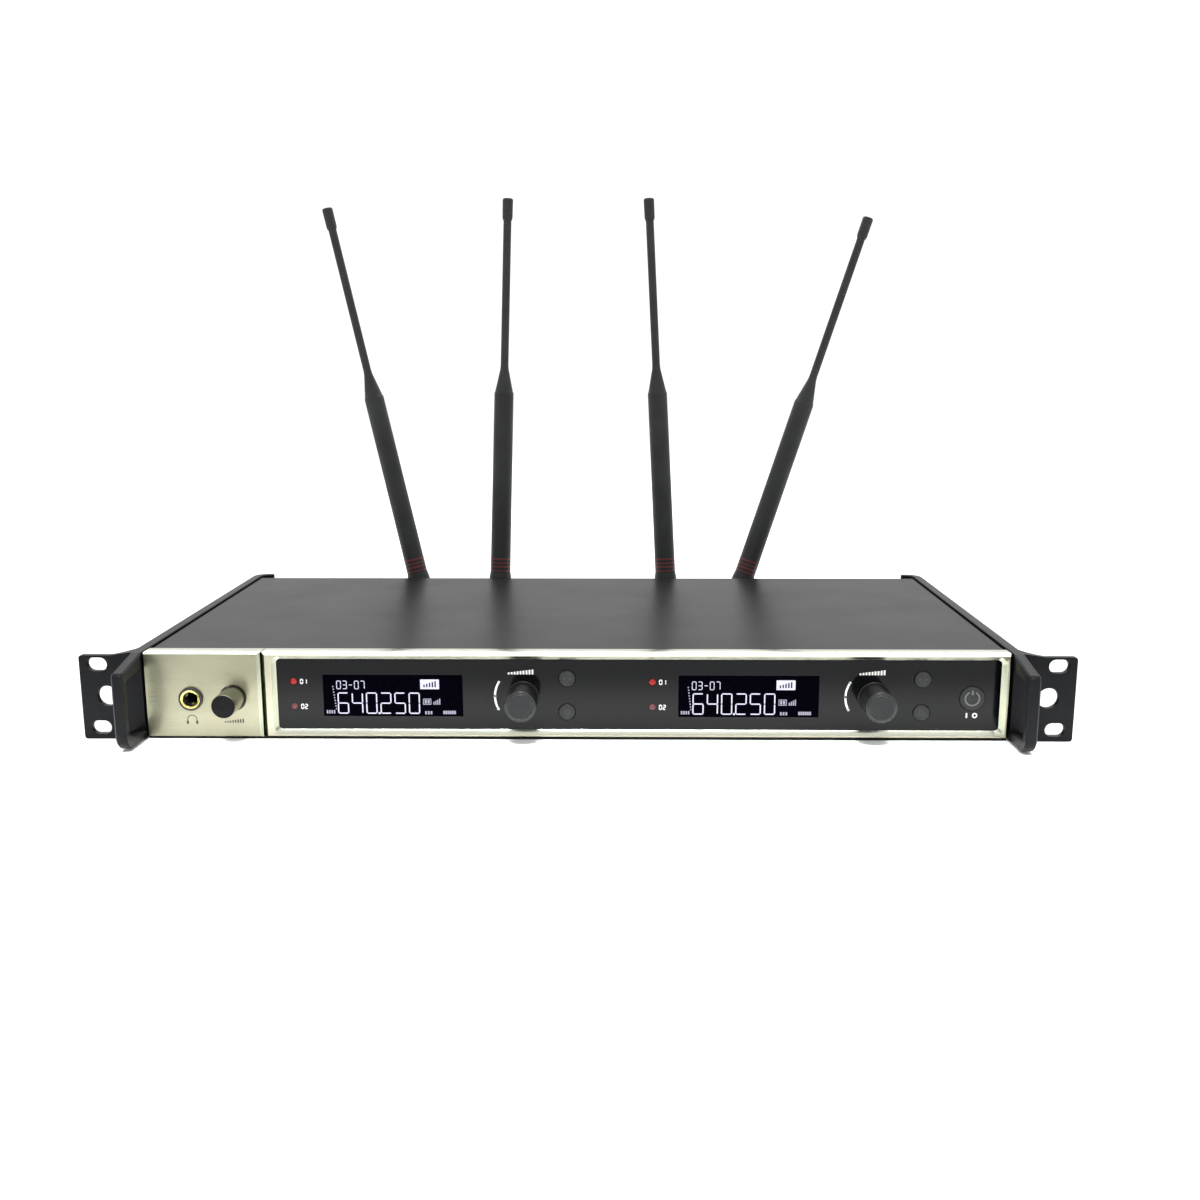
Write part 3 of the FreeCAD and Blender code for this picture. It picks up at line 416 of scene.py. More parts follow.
def display_glass():
    f = Finish("display_glass", (0.0010, 0.0008, 0.0022), 0.25, 0.0, Specular_IOR_Level=0.0)
    f.tint(f.noise(900, 1), 0.3)
    f.rough(f.noise(120, 2), 0.18, 0.26)
    return f.material


def lit(name, colour, strength):
    """Something that glows a little unevenly, as backlit segments do."""
    f = Finish(name, tuple(0.2 * c for c in colour), 0.4)
    shade = f.mix(f.spread(f.noise(700, 2), 0, 1), tuple(0.86 * c for c in colour), colour)
    f.links.new(shade, f.shader.inputs["Emission Color"])
    f.shader.inputs["Emission Strength"].default_value = strength
    return f.material


def lamp_red(name, colour, strength):
    f = Finish(name, colour, 0.2, 0.0, Specular_IOR_Level=0.3)
    shade = f.mix(f.spread(f.noise(900, 2), 0, 1), tuple(0.7 * c for c in colour), colour)
    f.links.new(shade, f.shader.inputs["Emission Color"])
    f.shader.inputs["Emission Strength"].default_value = strength
    return f.material


def knob_face():
    f = Finish("knob_face", (0.0055, 0.0056, 0.0056), 0.5, 0.0, Specular_IOR_Level=0.08)
    f.tint(f.noise(300, 3), 0.25)
    f.rough(f.noise(400, 3, seed=4), 0.42, 0.56)
    f.bump(f.noise(4200, 2), 0.15, 0.00003)
    return f.material


def knob_side_plate_reflection():
    # painted reflection: the side's olive tint stands in for the champagne plate that the glossy knob
    # reflects; the metal gloss is the knob's own
    f = Finish("knob_side_plate_reflection", (0.28, 0.28, 0.21), 0.2, 0.9, Specular_IOR_Level=0.5)
    f.tint(f.noise(200, 3), 0.1)
    f.rough(f.noise(260, 3, seed=4), 0.16, 0.24)
    return f.material


def dial_side():
    f = Finish("dial_side", (0.006, 0.0063, 0.0063), 0.36, 0.0, Specular_IOR_Level=0.25)
    f.tint(f.noise(200, 3), 0.2)
    f.rough(f.noise(260, 3, seed=9), 0.30, 0.42)
    return f.material


def dial_rim():
    f = Finish("dial_rim", (0.015, 0.0165, 0.0168), 0.24, 0.0, Specular_IOR_Level=0.34)
    f.tint(f.noise(260, 3), 0.15)
    f.rough(f.noise(300, 3, seed=10), 0.18, 0.28)
    return f.material


def dial_face():
    """Satin front of the large knobs, a little greyer than their sides."""
    f = Finish("dial_face", (0.0150, 0.0168, 0.0170), 0.4, 0.0, Specular_IOR_Level=0.2)
    f.tint(f.noise(260, 3), 0.15)
    f.rough(f.noise(400, 3, seed=8), 0.34, 0.46)
    f.bump(f.noise(4200, 2), 0.12, 0.00002)
    return f.material


def button_cap():
    f = Finish("button_cap", (0.010, 0.0108, 0.011), 0.42, 0.0, Specular_IOR_Level=0.35)
    f.tint(f.noise(350, 3), 0.25)
    f.rough(f.noise(500, 3, seed=5), 0.34, 0.5)
    f.bump(f.noise(5200, 2), 0.1, 0.00002)
    return f.material


def metal(name, colour, low_rough, high_rough, grain=1200):
    f = Finish(name, colour, low_rough, 1.0)
    f.tint(f.noise(90, 3), 0.08)
    f.rough(f.noise(grain, 3), low_rough, high_rough)
    return f.material


def plastic(name, colour, low_rough, high_rough):
    f = Finish(name, colour, low_rough)
    f.tint(f.noise(80, 3), 0.15)
    f.rough(f.noise(200, 3, seed=6), low_rough, high_rough)
    f.bump(f.noise(3200, 2), 0.12, 0.00003)
    return f.material


def soft_rubber():
    f = Finish("soft_rubber", (0.0165, 0.0175, 0.0185), 0.5, 0.0, Specular_IOR_Level=0.34)
    f.tint(f.noise(45, 4), 0.22)
    f.rough(f.noise(90, 4, seed=7), 0.46, 0.62)
    f.bump(f.noise(2600, 3), 0.16, 0.00005)
    return f.material


def circuit_green():
    """Solder mask over faint copper tracks."""
    f = Finish("circuit_green", (0.02, 0.12, 0.055), 0.35)
    tracks = f.noise(120, 0, stretch=(1, 3, 3))
    f.links.new(f.mix(f.spread(tracks, 0, 1, (0.48, 0.52)), (0.015, 0.10, 0.045), (0.03, 0.18, 0.08)),
                f.shader.inputs["Base Color"])
    f.rough(f.noise(300, 2), 0.28, 0.4)
    return f.material


def print_ink(name, colour):
    f = Finish(name, colour, 0.5)
    f.tint(f.noise(900, 2), 0.06)
    f.rough(f.noise(600, 2), 0.42, 0.6)
    return f.material


black_aluminium = anodised_black()
case_paint = powder_black()
champagne = brushed_champagne("champagne", (0.27, 0.265, 0.185), (0.33, 0.325, 0.235))
# painted reflection: the display frame's champagne is a lighter copy of the plate's, standing in for the
# brighter reflection on its face
champagne_frame_lit = brushed_champagne("champagne_frame_lit", (0.41, 0.40, 0.30), (0.475, 0.465, 0.36))
# painted highlight and painted shade: a lit copy of the edge champagne for bevels that face up or down, and
# a darker shaded copy for upright bevels
champagne_edge_lit = cut_champagne("champagne_edge_lit", (0.54, 0.555, 0.46))
champagne_edge_shaded = cut_champagne("champagne_edge_shaded", (0.33, 0.35, 0.265))
acrylic = window_acrylic()
glass = display_glass()
segment_light = lit("segment_light", (0.74, 0.74, 0.92), 0.9)
segment_dim = lit("segment_dim", (0.50, 0.50, 0.66), 0.55)
bright_red = lamp_red("lamp_bright_red", (0.25, 0.008, 0.006), 0.15)
pale_red = lamp_red("lamp_pale_red", (0.12, 0.040, 0.042), 0.03)
matt_knob = knob_face()
volume_side_reflection = knob_side_plate_reflection()
satin_dial = dial_face()
dark_dial = dial_side()
bright_dial = dial_rim()
cap_black = button_cap()
nickel = metal("nickel", (0.62, 0.60, 0.56), 0.14, 0.26)
gold = metal("gold_plate", (0.80, 0.72, 0.24), 0.08, 0.18)
steel = metal("zinc_steel", (0.50, 0.50, 0.51), 0.26, 0.42)
dark_screw = metal("dark_screw", (0.045, 0.045, 0.047), 0.24, 0.4)
tinned = metal("tinned_can", (0.62, 0.63, 0.64), 0.24, 0.4, 300)
black_plastic = plastic("connector_plastic", (0.018, 0.018, 0.019), 0.34, 0.5)
ribbon = plastic("ribbon_plastic", (0.33, 0.33, 0.35), 0.4, 0.55)
rubber = soft_rubber()
green = circuit_green()
white_ink = print_ink("white_ink", (0.86, 0.86, 0.84))
grey_ink = print_ink("grey_ink", (0.09, 0.095, 0.1))
faint_ink = print_ink("faint_ink", (0.032, 0.035, 0.038))
dark_ink = print_ink("dark_ink", (0.025, 0.024, 0.022))
red_band = plastic("red_band", (0.115, 0.010, 0.012), 0.45, 0.6)

# ---------------------------------------------------------------- frame nodes that keep their own shape
kept = {
    "bottom_chassis": case_paint, "top_cover": case_paint, "rear_panel": case_paint,
    "side_cheek_left": black_aluminium, "side_cheek_right": black_aluminium,
    "cheek_screws": dark_screw, "front_panel_screws": dark_screw, "rear_screws": dark_screw,
    "front_board": green, "main_board": green,
    "receiver_module_left": tinned, "receiver_module_right": tinned,
    "board_standoffs": steel, "board_screws": steel, "ribbon_cable": ribbon,
    "volume_pot": steel, "volume_shaft": steel, "encoder_left": steel, "encoder_right": steel,
    "encoder_shaft_left": steel, "encoder_shaft_right": steel, "push_switches": black_plastic,
    "line_output_jack": black_plastic, "line_output_nut": nickel, "xlr_outputs": black_plastic,
    "power_inlet": black_plastic, "antenna_sockets": nickel, "antenna_socket_nuts": nickel,
}
for number in "1234":
    kept["antenna_pin_" + number] = steel
edge_widths = {
    "side_cheek_left": 0.5 * mm, "side_cheek_right": 0.5 * mm, "top_cover": 0.3 * mm,
    "bottom_chassis": 0.2 * mm, "rear_panel": 0.2 * mm, "xlr_outputs": 0.25 * mm,
    "line_output_nut": 0.12 * mm, "power_inlet": 0.2 * mm,
}
for name, material in kept.items():
    node = nodes[name]
    node.data.materials.clear()
    node.data.materials.append(material)
for name, width in edge_widths.items():
    weld = nodes[name].modifiers.new("joined", "WELD")
    weld.merge_threshold = weld_gap
    soften(nodes[name], width)


def plate_pins(node, places, radius, material):
    """Gives a connector's pins their own metal: the faces that lie within a radius of each pin's axis."""
    mesh = nodes[node].data
    mesh.materials.append(material)
    for polygon in mesh.polygons:
        centre = polygon.center
        for x, z in places:
            if math.hypot(centre.x - x, centre.z - z) < radius:
                polygon.material_index = 1


outputs = middle("xlr_outputs")
output_reach = (high("xlr_outputs").x - low("xlr_outputs").x) / 2 - output_inset
pin_places = []
for side in (-1, 1):
    for degrees in (90, 210, 330):
        angle = math.radians(degrees)
        pin_places.append((outputs.x + side * output_reach + output_pin_ring * math.cos(angle),
                           outputs.z + output_pin_ring * math.sin(angle)))
plate_pins("xlr_outputs", pin_places, output_pin_r, nickel)
inlet = middle("power_inlet")
plate_pins("power_inlet", [(inlet.x, inlet.z)], inlet_pin_r, nickel)

# ---------------------------------------------------------------- display window and displays
window_low = low("display_window")
window_high = high("display_window")
window_face = window_low.y
buttons = ["upper_button_left", "lower_button_left", "upper_button_right", "lower_button_right"]
encoders = {"left": middle("encoder_knob_left"), "right": middle("encoder_knob_right")}
displays = {"left": middle("lcd_module_left"), "right": middle("lcd_module_right")}
cap_r = {}
for name in buttons + ["power_button"]:
    cap_r[name] = (high(name).x - low(name).x) / 2 - cap_rim
lamp_low = low("status_lamps")
lamp_high = high("status_lamps")
lamps = []
for x in (lamp_low.x + lamp_foot, lamp_high.x - lamp_foot):
    for z in (lamp_high.z - lamp_foot, lamp_low.z + lamp_foot):
        lamps.append((x, z))


def panel_stack(node, slope, bevel):
    """Outlines of a front panel's outside: face, sloped edges, side walls and the inside of its
    flanges. Slope is the edges' depth along Y, and bevel their widths at left, right, foot and head."""
    lowest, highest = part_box(node)
    left, right, foot, head = bevel
    face_back = lowest.y + face_t
    inside = rectangle(lowest.x + flange_t, highest.x - flange_t, lowest.z + flange_t, highest.z - flange_t)
    full = rectangle(lowest.x, highest.x, lowest.z, highest.z)
    face = rectangle(lowest.x + left, highest.x - right, lowest.z + foot, highest.z - head)
    return [(face, lowest.y, 1), (full, lowest.y + slope, 1), (full, highest.y, 0),
            (inside, highest.y, 0), (inside, face_back, 0)]


def build_display_frame():
    """Raised frame with a sloped outer edge and a bevelled mouth round the window."""
    front = low("display_frame").y
    back = front + face_t
    x0 = window_low.x + window_lap
    x1 = window_high.x - window_lap
    z0 = window_low.z + window_lap
    z1 = window_high.z - window_lap
    bevel = 2.2 * mm
    bevel_top = 1.76 * mm
    steps = 8
    mouth = rectangle(x0 - bevel, x1 + bevel, z0 - bevel, z1 + bevel_top, window_r + bevel, steps)
    opening = rectangle(x0, x1, z0, z1, window_r, steps)
    pocket = rectangle(window_low.x - lamp_gap, window_high.x + lamp_gap, window_low.z - lamp_gap,
                       window_high.z + lamp_gap, window_r, steps)
    rings = panel_stack("display_frame", slope=2.4 * mm, bevel=(2.0 * mm, 0.9 * mm, 0.7 * mm, 1.1 * mm))
    hole = [(mouth, front, 1), (opening, window_face, 0), (pocket, window_face, 0), (pocket, back, 0)]
    piece = relief("display_frame_shell", rings, [hole], [champagne_frame_lit, champagne_edge_lit, champagne_edge_shaded])
    soften(piece, panel_edge)
    put(piece, receiver, ["display_frame"])


def build_headphone_plate():
    """Flat plate with holes for the jack and the volume knob and a sloped edge at the joint."""
    front = low("headphone_plate").y
    jack = middle("headphone_jack_nut")
    knob = middle("volume_knob")
    holes = []
    for centre, radius in ((jack, jack_hole_r), (knob, knob_hole_r)):
        ring = circle(centre.x, centre.z, radius)
        holes.append([(ring, front, 0), (ring, front + face_t, 0)])
    rings = panel_stack("headphone_plate", slope=1.0 * mm, bevel=(0.4 * mm, 1.7 * mm, 0.5 * mm, 0.7 * mm))
    piece = relief("headphone_plate_shell", rings, holes, [champagne, champagne_edge_lit, champagne_edge_shaded])
    soften(piece, panel_edge)
    put(piece, receiver, ["headphone_plate"])


def build_window():
    """The gloss sheet, with its holes for controls and the two display apertures."""
    holes = []
    for centre in encoders.values():
        holes.append(circle(centre.x, centre.z, encoder_hole_r))
    for name, radius in cap_r.items():
        holes.append(circle(middle(name).x, middle(name).z, radius + hole_gap))
    for x, z in lamps:
        holes.append(circle(x, z, lamp_r + lamp_gap, steps=32))
    for centre in displays.values():
        holes.append(rectangle(centre.x - display_w / 2 - lamp_gap, centre.x + display_w / 2 + lamp_gap,
                               centre.z - display_h / 2 - lamp_gap, centre.z + display_h / 2 + lamp_gap))
    outline = rectangle(window_low.x, window_high.x, window_low.z, window_high.z, window_r)
    pane = slab("display_window_pane", outline, window_face, window_high.y, [acrylic], holes, window_edge)
    put(pane, receiver, ["display_window"])


# seven segments: a top, b upper right, c lower right, d foot, e lower left, f upper left, g middle
segments_of = {
    "0": "abcdef", "1": "bc", "2": "abged", "3": "abgcd", "4": "fgbc", "5": "afgcd",
    "6": "afgedc", "7": "abc", "8": "abcdefg", "9": "abcdfg", "-": "g",
}


def digit(symbol, x, z, width, height, line):
    """Outlines of a seven-segment digit whose lower left corner is at (x, z)."""
    gap = line * 0.18
    tip = line / 2
    half = height / 2
    flat = [Vector((gap, 0)), Vector((gap + tip, tip)), Vector((width - gap - tip, tip)),
            Vector((width - gap, 0)), Vector((width - gap - tip, -tip)), Vector((gap + tip, -tip))]
    tall = [Vector((0, gap)), Vector((tip, gap + tip)), Vector((tip, half - gap - tip)),
            Vector((0, half - gap)), Vector((-tip, half - gap - tip)), Vector((-tip, gap + tip))]
    strokes = {"a": (flat, 0, height), "g": (flat, 0, half), "d": (flat, 0, 0), "f": (tall, 0, half),
               "e": (tall, 0, 0), "b": (tall, width, half), "c": (tall, width, 0)}
    shapes = []
    for name in segments_of[symbol]:
        shape, dx, dz = strokes[name]
        shapes.append([p + Vector((x + dx, z + dz)) for p in shape])
    return shapes


def digits(text, x, z, pitch, width, height, line):
    shapes = []
    for k, symbol in enumerate(text):
        shapes += digit(symbol, x + k * pitch, z, width, height, line)
    return shapes


def bars(x0, x1, z0, z1, count, fill=0.62, rising=False):
    """A row of upright bars; rising makes them grow to the right."""
    pitch = (x1 - x0) / count
    shapes = []
    for k in range(count):
        share = 0.3 + 0.7 * (k + 1) / count if rising else 1.0
        left = x0 + k * pitch + pitch * (1 - fill) / 2
        shapes.append(rectangle(left, left + pitch * fill, z0, z0 + (z1 - z0) * share))
    return shapes


def frame_outline(x0, x1, z0, z1, line):
    """Four strokes of a frame; the upright ones stop a hair short, so that no two share an edge."""
    foot = z0 + line + stroke_gap
    head = z1 - line - stroke_gap
    return [rectangle(x0, x1, z0, z0 + line), rectangle(x0, x1, z1 - line, z1),
            rectangle(x0, x0 + line, foot, head), rectangle(x1 - line, x1, foot, head)]


def build_display(side):
    """Display glass in the window's aperture, with its lit segments; the module stays behind it."""
    centre = displays[side]
    node = "lcd_module_" + side
    x = centre.x
    z = centre.z
    face = window_face + display_set_back
    outline = rectangle(x - display_w / 2, x + display_w / 2, z - display_h / 2, z + display_h / 2, 0.4 * mm)
    panel = slab("display_glass_" + side, outline, face, window_high.y, [glass], edge=0.05 * mm)
    put(panel, receiver)
    back_low, back_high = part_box(node)
    casing = slab("display_casing_" + side,
                  rectangle(back_low.x, back_high.x, back_low.z, back_high.z, 1.0 * mm),
                  window_high.y + 0.1 * mm, back_high.y, [tinned], edge=0.3 * mm)
    put(casing, receiver, [node])

    def at(points):
        return [[p + Vector((x, z)) for p in shape] for shape in points]

    # bright: large figures with their point, small figures above, and a lit field at the upper right
    bright = digits("640250", -26.9 * mm, -9.0 * mm, 6.95 * mm, 4.9 * mm, 10.2 * mm, 0.6 * mm)
    bright.append(circle(-6.9 * mm, -9.0 * mm, 0.55 * mm, steps=16))
    bright += digits("03-07", -27.4 * mm, 3.3 * mm, 2.9 * mm, 1.9 * mm, 3.9 * mm, 0.36 * mm)
    bright.append(rectangle(13.4 * mm, 22.6 * mm, 3.2 * mm, 8.1 * mm, 0.3 * mm))
    marks("display_digits_" + side, at(bright), face, segment_light)
    # dim: three short rows of bars along the foot, a column of dots, a battery and a rising scale
    soft = bars(-33.0 * mm, -28.4 * mm, -9.2 * mm, -7.5 * mm, 4)
    soft += bars(15.2 * mm, 19.2 * mm, -9.5 * mm, -7.9 * mm, 3)
    soft += bars(24.2 * mm, 30.6 * mm, -9.4 * mm, -7.7 * mm, 6, fill=0.8)
    dot_lean = 0.17 * mm
    dot_pitch = 1.4 * mm
    for k in range(9):
        soft.append(circle(-29.3 * mm + dot_lean * k, 4.4 * mm - dot_pitch * k, 0.36 * mm, steps=12))
    soft += frame_outline(14.6 * mm, 18.6 * mm, -4.6 * mm, -1.6 * mm, 0.35 * mm)
    soft += bars(15.2 * mm, 18.0 * mm, -4.0 * mm, -2.2 * mm, 2, fill=0.7)
    soft += bars(19.4 * mm, 23.2 * mm, -4.6 * mm, -1.6 * mm, 4, fill=0.6, rising=True)
    marks("display_marks_" + side, at(soft), face, segment_dim)
    # dark bars on the lit field
    dark = bars(14.6 * mm, 21.4 * mm, 4.2 * mm, 7.2 * mm, 5, fill=0.5, rising=True)
    marks("display_inverse_" + side, at(dark), face - skin, glass)


def build_prints():
    """Marks on the window and on the headphone plate: plain numerals, bars and symbols."""
    white = []
    for k, (x, z) in enumerate(lamps):
        white += digits(("01", "02")[k % 2], x + 3.4 * mm, z - 1.1 * mm, 1.85 * mm, 1.15 * mm, 2.2 * mm,
                        0.42 * mm)
    scale_r = 13.7 * mm
    scale_from = 149
    scale_to = 208
    for centre in encoders.values():
        white += bars(centre.x - 7.6 * mm, centre.x + 5.4 * mm, 11.0 * mm, 13.4 * mm, 9,
                      fill=0.6, rising=True)
        white.append(arc_band(centre.x, centre.z, scale_r, 0.95 * mm, scale_from, scale_to))
        for degrees in (scale_from, 180, scale_to):
            angle = math.radians(degrees)
            white.append(circle(centre.x + scale_r * math.cos(angle), centre.z + scale_r * math.sin(angle),
                                0.62 * mm, steps=16))
    power = middle("power_button")
    sign_z = power.z - 8.6 * mm
    white.append(rectangle(power.x - 2.6 * mm, power.x - 1.9 * mm, sign_z - 1.2 * mm, sign_z + 1.2 * mm))
    for start, end in ((0, 179.9), (180, 359.9)):
        white.append(arc_band(power.x + 1.7 * mm, sign_z, 1.0 * mm, 0.55 * mm, start, end))
    marks("window_prints", white, window_face, white_ink)

    plate_face = low("headphone_plate").y
    jack = middle("headphone_jack_nut")
    knob = middle("volume_knob")
    dark = [arc_band(jack.x, jack.z - 10.6 * mm, 2.3 * mm, 0.42 * mm, -8, 188)]
    for side in (-1, 1):
        x = jack.x + side * 2.3 * mm
        z = jack.z - 11.9 * mm
        dark.append(rectangle(x - 0.55 * mm, x + 0.55 * mm, z - 0.9 * mm, z + 0.9 * mm, 0.35 * mm))
    dark += bars(knob.x - 5.0 * mm, knob.x + 5.0 * mm, knob.z - 12.6 * mm, knob.z - 10.6 * mm, 8,
                 fill=0.55, rising=True)
    marks("plate_prints", dark, plate_face, dark_ink)


def build_lamps():
    """Domed light pipes, the upper ones lit brighter."""
    length = lamp_high.y - lamp_low.y
    foot_t = 1.0 * mm
    profile = [(0, length), (lamp_r * 0.45, length - 0.06 * mm), (lamp_r * 0.8, length - 0.3 * mm),
               (lamp_r, length - 0.7 * mm), (lamp_r, foot_t), (lamp_foot, foot_t), (lamp_foot, 0), (0, 0)]
    for k, (x, z) in enumerate(lamps):
        shade = (bright_red, pale_red)[k % 2]
        lamp = turned("status_lamp_" + str(k + 1), profile, [shade], steps=32)
        place(lamp, Matrix.Translation((x, lamp_high.y, z)) @ facing_front)
        put(lamp, receiver, ["status_lamps"] if k == 0 else ())


# ---------------------------------------------------------------- knobs and buttons
def build_encoder_knob(side):
    """Turned knob with a flange at the window, a stepped front rim and a slightly sunken face."""
    node = "encoder_knob_" + side
    lowest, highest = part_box(node)
    centre = (lowest + highest) / 2
    length = highest.y - lowest.y
    flange = (highest.x - lowest.x) / 2
    r = flange - 0.5 * mm
    rim = 6.1 * mm
    profile = rounded([
        (0, 0), (flange, 0, 0.2 * mm), (flange, 1.4 * mm, 0.3 * mm), (r, 1.6 * mm, 0.15 * mm),
        (r, length - 0.9 * mm, 0.35 * mm), (rim + 0.45 * mm, length - 0.55 * mm, 0.15 * mm),
        (rim + 0.2 * mm, length, 0.3 * mm), (rim - 0.4 * mm, length, 0.15 * mm),
        (rim - 0.6 * mm, length - 0.3 * mm, 0.1 * mm), (0, length - 0.15 * mm)], steps=4)
    points = []
    for p in profile:
        zone = 0 if p[1] < length - 1.3 * mm else 1
        if zone == 1 and (rim - 0.5 * mm < p[0] < rim + 0.3 * mm or p[0] > r - 0.3 * mm):
            zone = 2
        points.append((p[0], p[1], zone))
    knob = turned(node + "_cap", points, [dark_dial, satin_dial, bright_dial], steps=96)
    place(knob, Matrix.Translation((centre.x, highest.y, centre.z)) @ facing_front)
    put(knob, "encoder_dial_" + side, [node])


def build_volume_knob():
    """Small glossy knob with a matt front and a fine dark pointer line."""
    lowest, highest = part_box("volume_knob")
    centre = (lowest + highest) / 2
    length = highest.y - lowest.y
    r = (highest.x - lowest.x) / 2
    profile = rounded([(0, 0), (r, 0, 0.2 * mm), (r - 0.1 * mm, length, 0.9 * mm), (0, length)], steps=6)
    points = [(p[0], p[1], 0 if p[1] < length - 0.5 * mm else 1) for p in profile]
    knob = turned("volume_knob_cap", points, [volume_side_reflection, matt_knob], steps=96)
    place(knob, Matrix.Translation((centre.x, highest.y, centre.z)) @ facing_front)
    put(knob, "volume_dial", ["volume_knob"])
    line = rectangle(centre.x - 0.2 * mm, centre.x + 0.2 * mm, centre.z + 2.6 * mm, centre.z + r - 1.2 * mm)
    pointer = marks("volume_knob_pointer", [line], lowest.y + 0.02 * mm, matt_knob, "volume_dial")


def build_button(name):
    """Low domed cap with a fine ring near its rim, its retaining flange and stem behind the window."""
    lowest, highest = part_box(name)
    centre = (lowest + highest) / 2
    length = highest.y - lowest.y
    r = cap_r[name]
    flange = (highest.x - lowest.x) / 2
    stem = 1.5 * mm
    rim_front = length - 3.5 * mm
    profile = rounded([
        (0, 0), (stem, 0), (stem, rim_front - 1.0 * mm), (flange, rim_front - 1.0 * mm), (flange, rim_front),
        (r, rim_front), (r, length - 0.15 * mm, 0.35 * mm), (r - 0.55 * mm, length, 0.2 * mm),
        (r - 0.75 * mm, length - 0.12 * mm, 0.1 * mm), (r - 1.0 * mm, length - 0.1 * mm, 0.1 * mm),
        (0, length - 0.02 * mm)], steps=4)
    cap = turned(name + "_cap", [(p[0], p[1]) for p in profile], [cap_black], steps=64)
    place(cap, Matrix.Translation((centre.x, highest.y, centre.z)) @ facing_front)
    put(cap, name, [name])
    sign = name + "_mark"
    ink = faint_ink
    if name == "power_button":
        sign = "power_symbol"
        ink = grey_ink
        shapes = [arc_band(centre.x, centre.z, 3.4 * mm, 0.75 * mm, 118, 422, 40),
                  rectangle(centre.x - 0.4 * mm, centre.x + 0.4 * mm, centre.z + 0.4 * mm,
                            centre.z + 4.1 * mm, 0.2 * mm)]
    elif name.startswith("lower"):
        shapes = [arc_band(centre.x, centre.z, 1.0 * mm, 0.7 * mm, 0, 359.9)]
    else:
        shapes = [rectangle(centre.x - 1.9 * mm, centre.x + 1.9 * mm, centre.z - 0.4 * mm,
                            centre.z + 0.4 * mm, 0.35 * mm)]
    symbol = marks(sign, shapes, lowest.y + 0.1 * mm, ink, name, 0.05 * mm)


def build_headphone_jack():
    """Gold-plated bushing with a flared mouth in a black nut, and the moulded body behind."""
    lowest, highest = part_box("headphone_jack")
    nut_low, nut_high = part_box("headphone_jack_nut")
    x = (nut_low.x + nut_high.x) / 2
    z = (nut_low.z + nut_high.z) / 2
    shoulder = low("headphone_plate").y + face_t
    length = shoulder - lowest.y
    bush = 4.7 * mm
    bore = 3.25 * mm
    slip = 0.05 * mm              # between pieces of the jack that sit in each other
    bush_end = -18.0 * mm         # behind the shoulder
    bore_depth = 14.0 * mm
    profile = rounded([
        (bore, bush_end), (bush, bush_end), (bush, length - 0.15 * mm, 0.1 * mm),
        (bush - 0.15 * mm, length, 0.1 * mm), (bore + 0.45 * mm, length - 0.3 * mm, 0.15 * mm),
        (bore + 0.1 * mm, length - 1.1 * mm, 0.2 * mm), (bore, length - 2.0 * mm)], steps=4)
    points = []
    for p in profile:
        dark_inside = p[0] < bore + 0.15 * mm and p[1] < length - 0.9 * mm
        points.append((p[0], p[1], 1 if dark_inside else 0))
    bushing = turned("headphone_jack_bushing", points, [gold, black_plastic], steps=72)
    place(bushing, Matrix.Translation((x, shoulder, z)) @ facing_front)
    put(bushing, receiver, ["headphone_jack"])
    outline = rectangle(lowest.x, highest.x, lowest.z, highest.z, 0.6 * mm)
    body = slab("headphone_jack_body", outline, shoulder, highest.y, [black_plastic],
                [circle(x, z, bush + slip)], 0.2 * mm)
    put(body, receiver)
    disc = rounded([(0, 0), (bore - slip, 0), (bore - slip, 1.0 * mm, 0.2 * mm), (0, 1.0 * mm)], steps=3)
    bore_floor = turned("headphone_jack_floor", disc, [black_plastic], steps=48)
    place(bore_floor, Matrix.Translation((x, shoulder + bore_depth, z)) @ facing_front)
    put(bore_floor, receiver)
    springs = bmesh.new()
    for degrees in (35, 155, 275):
        angle = math.radians(degrees)
        way = Vector((math.cos(angle), math.sin(angle)))
        side = Vector((-way.y, way.x)) * 0.6 * mm
        inner = Vector((x, z)) + way * 2.6 * mm
        outer = Vector((x, z)) + way * 3.2 * mm
        add_slab(springs, [inner - side, inner + side, outer + side, outer - side], shoulder - 0.5 * mm,
                 shoulder + 9.0 * mm)
    contacts = to_object("headphone_jack_contacts", springs, [gold])
    put(contacts, receiver)
    half = (nut_high.y - nut_low.y) / 2
    r = (nut_high.x - nut_low.x) / 2
    profile = rounded([
        (bush + slip, -half), (r, -half, 0.1 * mm), (r, half, 0.4 * mm),
        (bush + 0.3 * mm, half, 0.15 * mm), (bush + slip, half - 0.25 * mm)], steps=5)
    ring = turned("headphone_jack_ring", profile, [black_plastic], steps=72)
    place(ring, Matrix.Translation((x, (nut_low.y + nut_high.y) / 2, z)) @ facing_front)
    put(ring, receiver, ["headphone_jack_nut"])


# ---------------------------------------------------------------- antennas
def antenna_place(number):
    """Matrix from an antenna modelled upright at the origin to its pivot, leaned as it rests."""
    fold = joints["antenna_" + number + "_fold"]
    axis = fold["axis"]
    lean = math.atan2(axis[2], -axis[0])
    return Matrix.Translation(fold["pos_m"]) @ Matrix.Rotation(lean, 4, "Y")


